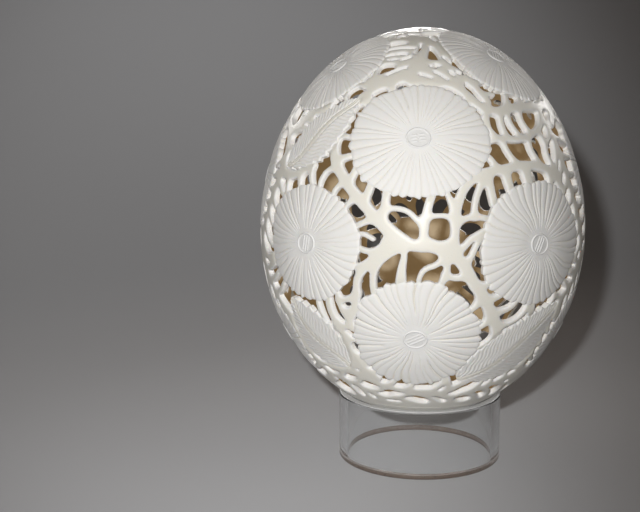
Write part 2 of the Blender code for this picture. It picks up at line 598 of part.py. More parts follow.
def contours(table):
    """Closed outlines of the openings as lists of (row, column) places on the table."""
    rows, cols = table.shape
    inside = table > 0.0
    right = np.roll(inside, -1, axis=1)
    mixed = (inside[:-1] != inside[1:]) | (inside[:-1] != right[:-1]) | (inside[:-1] != right[1:])
    links = {}
    for i, j in zip(*np.nonzero(mixed)):
        k = (j + 1) % cols
        corners = ((i, j), (i, k), (i + 1, k), (i + 1, j))
        sides = (("h", i, j), ("v", i, k), ("h", i + 1, j), ("v", i, j))
        cut = [s for s in range(4) if inside[corners[s]] != inside[corners[(s + 1) % 4]]]
        if len(cut) == 4:
            high = table[i, j] + table[i, k] + table[i + 1, k] + table[i + 1, j] > 0.0
            pairs = ((0, 1), (2, 3)) if high != bool(inside[i, j]) else ((3, 0), (1, 2))
        else:
            pairs = ((cut[0], cut[1]),)
        for a, b in pairs:
            links.setdefault(sides[a], []).append(sides[b])
            links.setdefault(sides[b], []).append(sides[a])
    loops = []
    unused = set(links)
    for start in sorted(links):
        if start not in unused:
            continue
        loop = []
        side = start
        while side in unused:
            unused.discard(side)
            loop.append(crossing(table, side))
            ahead = [s for s in links[side] if s in unused]
            side = ahead[0] if ahead else start
        loops.append(np.array(loop))
    return loops


def crossing(table, side):
    """Place on a grid side where the table passes through nothing."""
    kind, i, j = side
    cols = table.shape[1]
    other = table[i, (j + 1) % cols] if kind == "h" else table[i + 1, j]
    t = table[i, j] / (table[i, j] - other)
    return (i, j + t) if kind == "h" else (i + t, j)


def simplify(points, allowed):
    """Fewest corners of a closed outline that stay within an allowed departure."""
    far = int(np.argmax(np.linalg.norm(points - points[0], axis=1)))
    ring = np.vstack([points, points[:1]])
    keep = {0, far, len(points)}
    stack = [(0, far), (far, len(points))]
    while stack:
        a, b = stack.pop()
        if b - a < 2:
            continue
        chord = ring[b] - ring[a]
        away = ring[a + 1:b] - ring[a]
        t = np.clip(away @ chord / max(chord @ chord, 1e-12), 0.0, 1.0)
        off = np.linalg.norm(away - t[:, None] * chord, axis=1)
        if off.max() > allowed:
            m = a + 1 + int(np.argmax(off))
            keep.add(m)
            stack += [(a, m), (m, b)]
    return sorted(keep - {len(points)})


def openings():
    """Corners of every opening that is cut, as arrays of (angle from the top, angle round)."""
    shapes = []
    for loop in contours(carving_table()):
        theta = loop[:, 0] / STEPS
        phi = loop[:, 1] / STEPS - 180.0
        p = egg(theta, phi)
        spokes = p - p.mean(0)
        area = 0.5 * np.linalg.norm(np.cross(spokes, np.roll(spokes, -1, axis=0)).sum(0))
        corners = simplify(p, OUTLINE)
        if area < LEAST_OPENING or len(corners) < 3:
            continue
        shapes.append(np.stack([theta[corners], phi[corners]], -1))
    return shapes


def on_plane(spots):
    """Places given as (from the top, round) laid out on a plane, with the top at its middle."""
    rho = np.tan(np.radians(spots[:, 0]) / 2.0)
    phi = np.radians(spots[:, 1])
    return np.stack([rho * np.sin(phi), -rho * np.cos(phi)], -1)


def flower_relief():
    """Points of the flowers' pleats: places, depths, and the ridges that join them."""
    spots = []
    depth = []
    ridges = []
    for theta, phi, radius, _ in FLOWERS:
        c, _, east, up = frame_at(theta, phi)
        first = len(spots)
        spots.append(c)
        depth.append(HUB_DIP)
        for r, count, dip in ((HUB_R, PLEATS // 2, 0.0), (PLEAT_OUT * radius, 2 * PLEATS, PLEAT_DEPTH)):
            for k in range(count):
                a = 2.0 * math.pi * k / count
                spots.append(snap(c + r * (math.cos(a) * east + math.sin(a) * up)))
                depth.append(dip * (k % 2))
        hub = first + 1
        rim = hub + PLEATS // 2
        for k in range(PLEATS):
            ridges.append((hub + k // 2, rim + 2 * k))
    return spots, depth, ridges


def leaf_relief():
    """Points down each leaf's raised midrib and its sunk halves."""
    spots = []
    depth = []
    for theta, phi, heading, length, width, bend in LEAVES:
        c, _, east, up = frame_at(theta, phi)
        h = math.radians(heading)
        along = math.cos(h) * up + math.sin(h) * east
        across = math.cos(h) * east - math.sin(h) * up
        for s in (-0.32, -0.12, 0.08, 0.28):
            mid = c + along * s * length + across * bend * length * (0.25 - s * s)
            for side in (-1.0, 0.0, 1.0):
                off = side * 0.25 * width * math.cos(1.1 * math.pi * s)
                spots.append(snap(mid + across * off))
                depth.append(MIDRIB * abs(side))
    return spots, depth


def sheet():
    """The pierced surface: vertices in metres about the egg's middle, and triangles."""
    cuts = openings()
    relief, depth, ridges = flower_relief()
    more, more_depth = leaf_relief()
    phi, theta = angles(np.array(relief + more))
    plain = [(t, p) for t, n in CAP_RINGS for p in np.arange(n) * 360.0 / n - 180.0]
    spots = [np.stack([theta, phi], -1), np.array(plain)]
    depths = np.r_[depth, more_depth, np.zeros(len(plain))]
    base = len(depths)
    edges = list(ridges)
    drain = math.degrees(math.asin(DRAIN_R / (EGG_A * (1.0 - EGG_K))))
    cuts.append(np.array([(180.0 - drain, k * 30.0 - 180.0) for k in range(12)]))
    for cut in cuts:
        n = len(cut)
        spots.append(cut)
        edges += [(base + k, base + (k + 1) % n) for k in range(n)]
        base += n
    spots = np.vstack(spots)
    depths = np.r_[depths, np.zeros(len(spots) - len(depths))]
    flat = on_plane(spots)
    verts, _, faces, origin, _, _ = delaunay_2d_cdt(
        [Vector(p) for p in flat], edges, [], 0, 1e-7)
    at = np.array([o[0] for o in origin])
    flat = flat[at]
    tris = np.array([f[:] for f in faces])
    middle = flat[tris].mean(1)
    gone = np.zeros(len(tris), bool)
    for cut in cuts[:-1]:
        gone |= within(middle, on_plane(cut))
    spots = spots[at]
    p = egg(spots[:, 0], spots[:, 1])
    p -= normal(p) * depths[at][:, None]
    p[:, 2] -= EGG_ZC
    return p * MM, tris[~gone]


def within(points, corners):
    """Which points lie within a closed outline on the plane."""
    hit = np.zeros(len(points), bool)
    low = corners.min(0)
    high = corners.max(0)
    near = np.nonzero(((points > low) & (points < high)).all(1))[0]
    if not len(near):
        return hit
    x, y = points[near].T
    odd = np.zeros(len(near), bool)
    for (ax, ay), (bx, by) in zip(corners, np.roll(corners, -1, axis=0)):
        if ay != by:
            odd ^= ((ay > y) != (by > y)) & (x < ax + (bx - ax) * (y - ay) / (by - ay))
    hit[near] = odd
    return hit


def material(name, colour, roughness, alpha=1.0):
    """A plain finish."""
    mat = bpy.data.materials.new(name)
    mat.use_nodes = True
    shader = mat.node_tree.nodes["Principled BSDF"]
    shader.inputs["Base Color"].default_value = (*colour, 1.0)
    shader.inputs["Roughness"].default_value = roughness
    shader.inputs["Metallic"].default_value = 0.0
    shader.inputs["Alpha"].default_value = alpha
    return mat


def new_object(name, mesh, collection, mat):
    """An object for one sub-part, in the part's collection."""
    obj = bpy.data.objects.new(name, mesh)
    mesh.materials.append(mat)
    collection.objects.link(obj)
    return obj


def make_eggshell(collection):
    """The carved shell: the pierced surface, thickened inwards."""
    points, tris = sheet()
    mesh = bpy.data.meshes.new("eggshell")
    mesh.from_pydata([tuple(p) for p in points], [], [tuple(t) for t in tris])
    work = bmesh.new()
    work.from_mesh(mesh)
    bmesh.ops.delete(work, geom=[v for v in work.verts if not v.link_faces], context="VERTS")
    bmesh.ops.recalc_face_normals(work, faces=work.faces[:])
    lowest = min(work.faces, key=lambda f: f.calc_center_median().z)
    if lowest.normal.z > 0.0:
        bmesh.ops.reverse_faces(work, faces=work.faces[:])
    work.to_mesh(mesh)
    work.free()
    obj = new_object("eggshell", mesh, collection, material("eggshell", (0.86, 0.84, 0.78), 0.5))
    obj.location = (0.0, 0.0, EGG_ZC * MM)
    shell = obj.modifiers.new("shell", "SOLIDIFY")
    shell.thickness = SHELL * MM
    shell.offset = -1.0
    shell.use_even_offset = False
    return obj


def ring_height():
    """Height at which the ring's broken inner edge keeps its gap to the egg."""
    t = np.linspace(0.5 * math.pi, math.pi, 4000)
    r = EGG_A * (1.0 + EGG_K * np.cos(t)) * np.sin(t)
    z = EGG_ZC + EGG_B * np.cos(t)
    inner = RING_R - RING_WALL
    heights = []
    for x, drop in ((inner, RING_ROUND), (inner + RING_ROUND, 0.0)):
        low = EGG_ZC - EGG_B
        high = float(np.interp(x, r[::-1], z[::-1]))
        for _ in range(40):
            mid = 0.5 * (low + high)
            if np.hypot(r - x, z - mid).min() > GAP:
                low = mid
            else:
                high = mid
        heights.append(low + drop)
    return min(heights)


def make_ring(collection):
    """The clear tube: a turned wall with its edges broken."""
    inner = RING_R - RING_WALL
    top = ring_height()
    corners = ((RING_R, top), (RING_R, 0.0), (inner, 0.0), (inner, top))
    mesh = bpy.data.meshes.new("ring_stand")
    mesh.from_pydata([(x * MM, 0.0, z * MM) for x, z in corners],
                     [(k, (k + 1) % len(corners)) for k in range(len(corners))], [])
    obj = new_object("ring_stand", mesh, collection, material("acrylic", (0.93, 0.95, 0.96), 0.05, 0.3))
    turn = obj.modifiers.new("turn", "SCREW")
    turn.angle = 2.0 * math.pi
    turn.steps = RING_SIDES
    turn.render_steps = RING_SIDES
    turn.use_merge_vertices = True
    turn.merge_threshold = 0.00001
    edge = obj.modifiers.new("edge", "BEVEL")
    edge.width = RING_ROUND * MM
    edge.segments = 1
    edge.limit_method = "ANGLE"
    edge.angle_limit = math.radians(40.0)
    return obj


def main():
    """Builds the part in an emptied scene."""
    for obj in list(bpy.data.objects):
        bpy.data.objects.remove(obj, do_unlink=True)
    collection = bpy.data.collections.new(NAME)
    bpy.context.scene.collection.children.link(collection)
    make_eggshell(collection)
    make_ring(collection)


main()
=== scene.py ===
"""Looks of the carved ostrich egg on its clear ring stand.

The egg is a turned surface, and every place on it is given by two angles: theta from its
top and phi round it, with 0 in front and + to the right.  The carving is a table of gaps,
the distance from each place to the nearest solid part, less than nothing inside it.  The
openwork between the motifs is the mesh of the places where that gap is below nothing.
Flowers, leaves and the foot are surfaces of their own on grids that follow their ribs and
veins.  Lengths are in millimetres and turn into metres when a mesh is made.
"""
from __future__ import annotations
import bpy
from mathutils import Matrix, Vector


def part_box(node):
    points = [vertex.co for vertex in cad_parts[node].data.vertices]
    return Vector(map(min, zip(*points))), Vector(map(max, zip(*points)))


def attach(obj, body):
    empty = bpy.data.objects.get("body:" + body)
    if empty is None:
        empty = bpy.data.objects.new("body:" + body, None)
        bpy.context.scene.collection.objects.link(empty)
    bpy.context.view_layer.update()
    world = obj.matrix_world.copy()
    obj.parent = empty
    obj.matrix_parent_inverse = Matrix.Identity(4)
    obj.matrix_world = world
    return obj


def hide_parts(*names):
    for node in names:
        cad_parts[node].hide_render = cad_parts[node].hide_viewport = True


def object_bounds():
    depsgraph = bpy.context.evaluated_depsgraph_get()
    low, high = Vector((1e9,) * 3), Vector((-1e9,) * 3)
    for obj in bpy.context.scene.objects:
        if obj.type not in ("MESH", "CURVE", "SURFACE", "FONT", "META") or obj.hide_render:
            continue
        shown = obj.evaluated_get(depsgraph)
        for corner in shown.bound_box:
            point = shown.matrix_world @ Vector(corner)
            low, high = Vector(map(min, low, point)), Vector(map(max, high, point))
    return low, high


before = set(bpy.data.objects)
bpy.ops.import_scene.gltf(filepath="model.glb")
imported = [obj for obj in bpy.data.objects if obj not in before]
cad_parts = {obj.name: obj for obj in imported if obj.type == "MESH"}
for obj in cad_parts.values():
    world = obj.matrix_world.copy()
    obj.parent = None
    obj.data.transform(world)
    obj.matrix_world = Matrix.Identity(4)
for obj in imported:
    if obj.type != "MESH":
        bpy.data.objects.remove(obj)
CAD_BOX = [list(corner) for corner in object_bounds()]

import logging  # noqa: E402
import math  # noqa: E402
from dataclasses import dataclass, field  # noqa: E402
from enum import Enum  # noqa: E402
from typing import Any, Sequence, Union  # noqa: E402

import bpy  # noqa: E402
import numpy as np  # noqa: E402
from mathutils import Matrix  # noqa: E402
from mathutils.kdtree import KDTree  # noqa: E402

LOG = logging.getLogger("carved_egg")
Array = np.ndarray
MM = 0.001
FAR = 9.0


class Node(Enum):
    """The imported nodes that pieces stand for."""

    EGG = "eggshell"
    RING = "ring_stand"


class Slot(Enum):
    """The record's material slots."""

    SHELL = "eggshell"
    ACRYLIC = "acrylic"


class Seed(Enum):
    """What the middle of a flower shows."""

    BARS = "slanting bars"
    DASHES = "short dashes"


# ---------------------------------------------------------------- the egg


def unit(vectors: Array) -> Array:
    """Vectors scaled to length one."""
    return vectors / np.maximum(np.linalg.norm(vectors, axis=-1, keepdims=True), 1e-12)


def ease(low: float, high: float, values: Array) -> Array:
    """Rises smoothly from 0 at low to 1 at high: t squared times three less two t."""
    t = np.clip((values - low) / (high - low), 0.0, 1.0)
    return t * t * (3.0 - 2.0 * t)


@dataclass(frozen=True)
class Tangent:
    """A place on the egg with its outward, rightward and upward directions."""

    origin: Array
    normal: Array
    east: Array
    up: Array


@dataclass(frozen=True)
class EggShape:
    """The egg: an ellipse turned about its axis, a little narrower towards the top."""

    half_width: float = 62.5
    half_height: float = 74.7
    taper: float = -0.0375
    middle: float = 93.4

    def point(self, theta: Array, phi: Array) -> Array:
        """Points of the egg.

        The radius is the half width times (1 + taper cos theta) times sin theta, and the
        height is the middle plus the half height times cos theta.

        Args:
            theta: angles from the top, in degrees.
            phi: angles round the egg, in degrees.

        Returns:
            Points, with the last axis x, y, z.
        """
        t = np.radians(theta)
        p = np.radians(phi)
        r = self.half_width * (1.0 + self.taper * np.cos(t)) * np.sin(t)
        z = self.middle + self.half_height * np.cos(t)
        return np.stack(np.broadcast_arrays(r * np.sin(p), -r * np.cos(p), z), -1)

    def angles(self, points: Array) -> tuple[Array, Array]:
        """Angles from the top and round the egg of points on it, in degrees."""
        c = np.clip((points[..., 2] - self.middle) / self.half_height, -1.0, 1.0)
        return (np.degrees(np.arccos(c)),
                np.degrees(np.arctan2(points[..., 0], -points[..., 1])))

    def normal(self, points: Array) -> Array:
        """Outward unit normals: the slope of x squared + y squared - radius squared."""
        c = np.clip((points[..., 2] - self.middle) / self.half_height, -1.0, 1.0)
        s2 = 1.0 - c * c
        g = 1.0 + self.taper * c
        nz = -self.half_width ** 2 * (2.0 * g * self.taper * s2 - 2.0 * g * g * c)
        return unit(np.stack([2.0 * points[..., 0], 2.0 * points[..., 1],
                              nz / self.half_height], -1))

    def snap(self, points: Array) -> Array:
        """Points moved onto the egg along the line from its middle."""
        mid = np.array([0.0, 0.0, self.middle])
        d = points - mid
        for _ in range(3):
            flat = np.hypot(d[..., 0], d[..., 1])
            t = np.arctan2(flat / self.half_width, d[..., 2] / self.half_height)
            r = self.half_width * (1.0 + self.taper * np.cos(t)) * np.sin(t)
            r = r / np.maximum(flat, 1e-9)
            q = np.stack([r * d[..., 0], r * d[..., 1], self.half_height * np.cos(t)], -1)
            d = d * ((q * d).sum(-1) / (d * d).sum(-1))[..., None]
        return d + mid

    def tangent(self, theta: float, phi: float) -> Tangent:
        """The tangent plane at a place on the egg."""
        origin = self.point(np.array(float(theta)), np.array(float(phi)))
        out = self.normal(origin)
        p = math.radians(phi)
        east = np.array([math.cos(p), math.sin(p), 0.0])
        return Tangent(origin, out, east, unit(np.cross(out, east)))

    def lay(self, plane: Tangent, x: Array, y: Array) -> Array:
        """Points of the egg that lie over places (x, y) of a tangent plane."""
        p = plane.origin + x[..., None] * plane.east + y[..., None] * plane.up
        q = self.snap(p)
        for _ in range(3):
            d = q - plane.origin
            p = (p + (x - d @ plane.east)[..., None] * plane.east
                 + (y - d @ plane.up)[..., None] * plane.up)
            q = self.snap(p)
        return q


EGG = EggShape()


# ---------------------------------------------------------------- the motifs


@dataclass(frozen=True)
class Flower:
    """A round flower: place, radius, and how its ribs and its middle are cut.

    Sway bends the ribs, and petals is how many deeper grooves part them.  Lean turns the
    seed's bars, in degrees, oval stretches the rim to the sides by that share, and cut is
    the share of the usual depth that its grooves have.
    """

    theta: float
    phi: float
    radius: float
    ribs: int = 44
    sway: float = 0.05
    petals: int = 0
    seed: Seed = Seed.BARS
    lean: float = 30.0
    oval: float = 0.0
    cut: float = 1.0

    def plane(self) -> Tangent:
        """The tangent plane at the flower's middle."""
        return EGG.tangent(self.theta, self.phi)

    def rim(self, psi: Array) -> Array:
        """Radius of the rim in a direction: an oval with five low waves and three lower ones."""
        turn = math.radians(self.phi)
        wave = 0.018 * np.cos(5 * psi + turn) + 0.012 * np.cos(3 * psi + turn)
        wave += self.oval * np.cos(2 * psi)
        return self.radius * (1.0 + wave)

    def gap(self, points: Array) -> Array:
        """Distance outside the rim, less than nothing within it."""
        plane = self.plane()
        d = points - plane.origin
        return np.linalg.norm(d, axis=-1) - self.rim(np.arctan2(d @ plane.up, d @ plane.east))


@dataclass(frozen=True)
class Leaf:
    """A pointed leaf: place, heading (0 up, 90 right), length, width and bend."""

    theta: float
    phi: float
    heading: float
    length: float
    width: float
    bend: float

    def plane(self) -> Tangent:
        """The tangent plane at the leaf's middle, turned so that up runs to its tip."""
        flat = EGG.tangent(self.theta, self.phi)
        h = math.radians(self.heading)
        along = math.cos(h) * flat.up + math.sin(h) * flat.east
        across = math.cos(h) * flat.east - math.sin(h) * flat.up
        return Tangent(flat.origin, flat.normal, across, along)

    def half(self, s: Array) -> Array:
        """Half width at a share s of the length: a sine pushed towards the base."""
        return 0.5 * self.width * np.sin(np.pi * np.clip(s, 0.0, 1.0) ** 0.85) ** 0.75

    def spine(self, s: Array) -> Array:
        """Sideways place of the midrib at a share s of the length: a parabola."""
        return self.bend * self.length * (0.25 - (s - 0.5) ** 2)

    def gap(self, points: Array) -> Array:
        """Distance outside the leaf's edge, less than nothing within it."""
        plane = self.plane()
        d = points - plane.origin
        s = d @ plane.up / self.length + 0.5
        t = d @ plane.east - self.spine(s)
        past = np.where((s < 0.0) | (s > 1.0), np.maximum(-s, s - 1.0) * self.length, 0.0)
        side = np.abs(t) - self.half(s)
        gap = np.hypot(np.maximum(side, 0.0), past) + 0.85 * np.minimum(side, 0.0)
        return np.maximum(gap, np.linalg.norm(d, axis=-1) - 0.75 * self.length)


@dataclass(frozen=True)
class Foot:
    """The uncarved cap round the egg's foot, and the hole it was emptied through."""

    theta: float = 147.0
    drain: float = 4.0

    def pole(self) -> Array:
        """The egg's lowest point."""
        return np.array([0.0, 0.0, EGG.middle - EGG.half_height])

    def radius(self) -> float:
        """Straight distance from the lowest point to the cap's edge."""
        return float(np.linalg.norm(EGG.point(np.array(self.theta), np.array(0.0)) - self.pole()))

    def gap(self, points: Array) -> Array:
        """Distance outside the cap, less than nothing within it."""
        return np.linalg.norm(points - self.pole(), axis=-1) - self.radius()


@dataclass(frozen=True)
class Stem:
    """A listed stem: half widths at its ends and places (phi, theta) along it."""

    name: str
    start: float
    end: float
    spots: tuple[tuple[float, float], ...]


@dataclass(frozen=True)
class FingerRun:
    """Fingers along a stem: side (+1 left of its growth), from, to, and spacing."""

    stem: str
    side: int
    start: float
    stop: float
    spacing: float


FLOWERS: tuple[Flower, ...] = (
    Flower(60.9, -1.2, 22.6, 46, 0.04, 0, Seed.DASHES, 8.0, 0.09),
    Flower(90.9, -40.4, 21.4, 44, 0.05, 0, Seed.BARS, 80.0, 0.04),
    Flower(90.8, 41.5, 23, 44, 0.11, 0, Seed.BARS, 62.0, 0.06),
    Flower(116.6, -1.6, 22.6, 44, 0.09, 11, Seed.BARS, 28.0, 0.01),
    Flower(36, -60, 20.5, 50, 0.1, 0, Seed.BARS, 20.0, 0.0, 0.85),
    Flower(31.5, 58, 21.5, 52, 0.1, 0, Seed.BARS, 40.0, 0.0, 0.7),
    Flower(75, -88, 20.5, 42, 0.07, 0, Seed.BARS, 70.0),
    Flower(72, 91, 20.5, 42, 0.06, 0, Seed.BARS, 50.0, 0.02),
    Flower(124, -77, 18.5, 40, 0.05, 6, Seed.DASHES, 30.0, 0.03),
    Flower(122, 77, 18.5, 40, 0.08, 0, Seed.BARS, 15.0),
    Flower(110, 178, 21.5, 44, 0.06, 0, Seed.BARS, 35.0, 0.03),
    Flower(71, -148, 22, 44, 0.09, 8, Seed.BARS, 60.0, 0.04),
    Flower(111, -128, 21, 42, 0.05, 0, Seed.DASHES, 10.0),
    Flower(68, 151, 21.5, 44, 0.05, 0, Seed.BARS, 75.0),
    Flower(106, 125, 20.5, 42, 0.1, 0, Seed.BARS, 25.0, 0.04),
    Flower(27, -173, 20, 42, 0.05, 0, Seed.BARS, 45.0),
)
LEAVES: tuple[Leaf, ...] = (
    Leaf(59.3, -43.8, 42, 37, 18, 0.25), Leaf(118.5, -42, -36, 33, 23, -0.14),
    Leaf(121.5, 38, 50, 46, 24, 0.1), Leaf(88, -118, 10, 32, 17, 0.2),
    Leaf(46, 112, 105, 30, 15, 0.2),
)
FOOT = Foot()

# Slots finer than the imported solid's openings: half widths, then places (phi, theta).
SLOTS: tuple[Stem, ...] = (
    Stem("slit", 0.5, 0.4, ((-1.2, 39.7), (1.5, 40.2), (4.6, 41.1))),
    Stem("slit_left", 0.45, 0.5, ((-13.0, 33.4), (-10.5, 32.6), (-7.8, 31.9))),
    Stem("slit_side", 0.5, 0.5, ((-29.4, 39.6), (-30.2, 42.4))),
    Stem("row_low", 0.55, 0.5, ((-25.0, 27.8), (-16.0, 26.9), (-6.0, 27.0))),
    Stem("row_left", 0.45, 0.5, ((-24.0, 31.2), (-18.0, 30.6), (-13.0, 30.2))),
    Stem("streak", 0.55, 0.45, ((8.5, 18.0), (10.0, 20.0), (11.5, 22.0))),
    Stem("streak_low", 0.5, 0.45, ((13.5, 32.0), (16.0, 34.2), (18.5, 36.0))),
    Stem("fork", 0.5, 0.45, ((-5.0, 30.0), (-2.5, 27.5), (-1.5, 24.6))),
    Stem("lip", 0.45, 0.4, ((-9.0, 36.8), (-14.0, 38.2), (-18.5, 40.0))),
    Stem("lip_right", 0.45, 0.4, ((6.5, 38.8), (9.5, 40.0), (12.5, 41.8))),
    Stem("top_left", 0.8, 0.7, ((-52.0, 15.8), (-41.0, 14.4), (-31.0, 13.6))),
    Stem("top_middle", 0.75, 0.65, ((-17.0, 15.2), (-7.0, 15.8), (2.0, 16.2))),
    Stem("top_right", 0.8, 0.6, ((12.0, 13.4), (20.0, 13.2), (28.0, 13.4))),
    Stem("dot", 0.45, 0.4, ((7.6, 35.5), (9.8, 36.2))),
    Stem("bow", 0.55, 0.5, ((18.4, 38.9), (20.4, 39.6), (22.6, 39.3))),
)

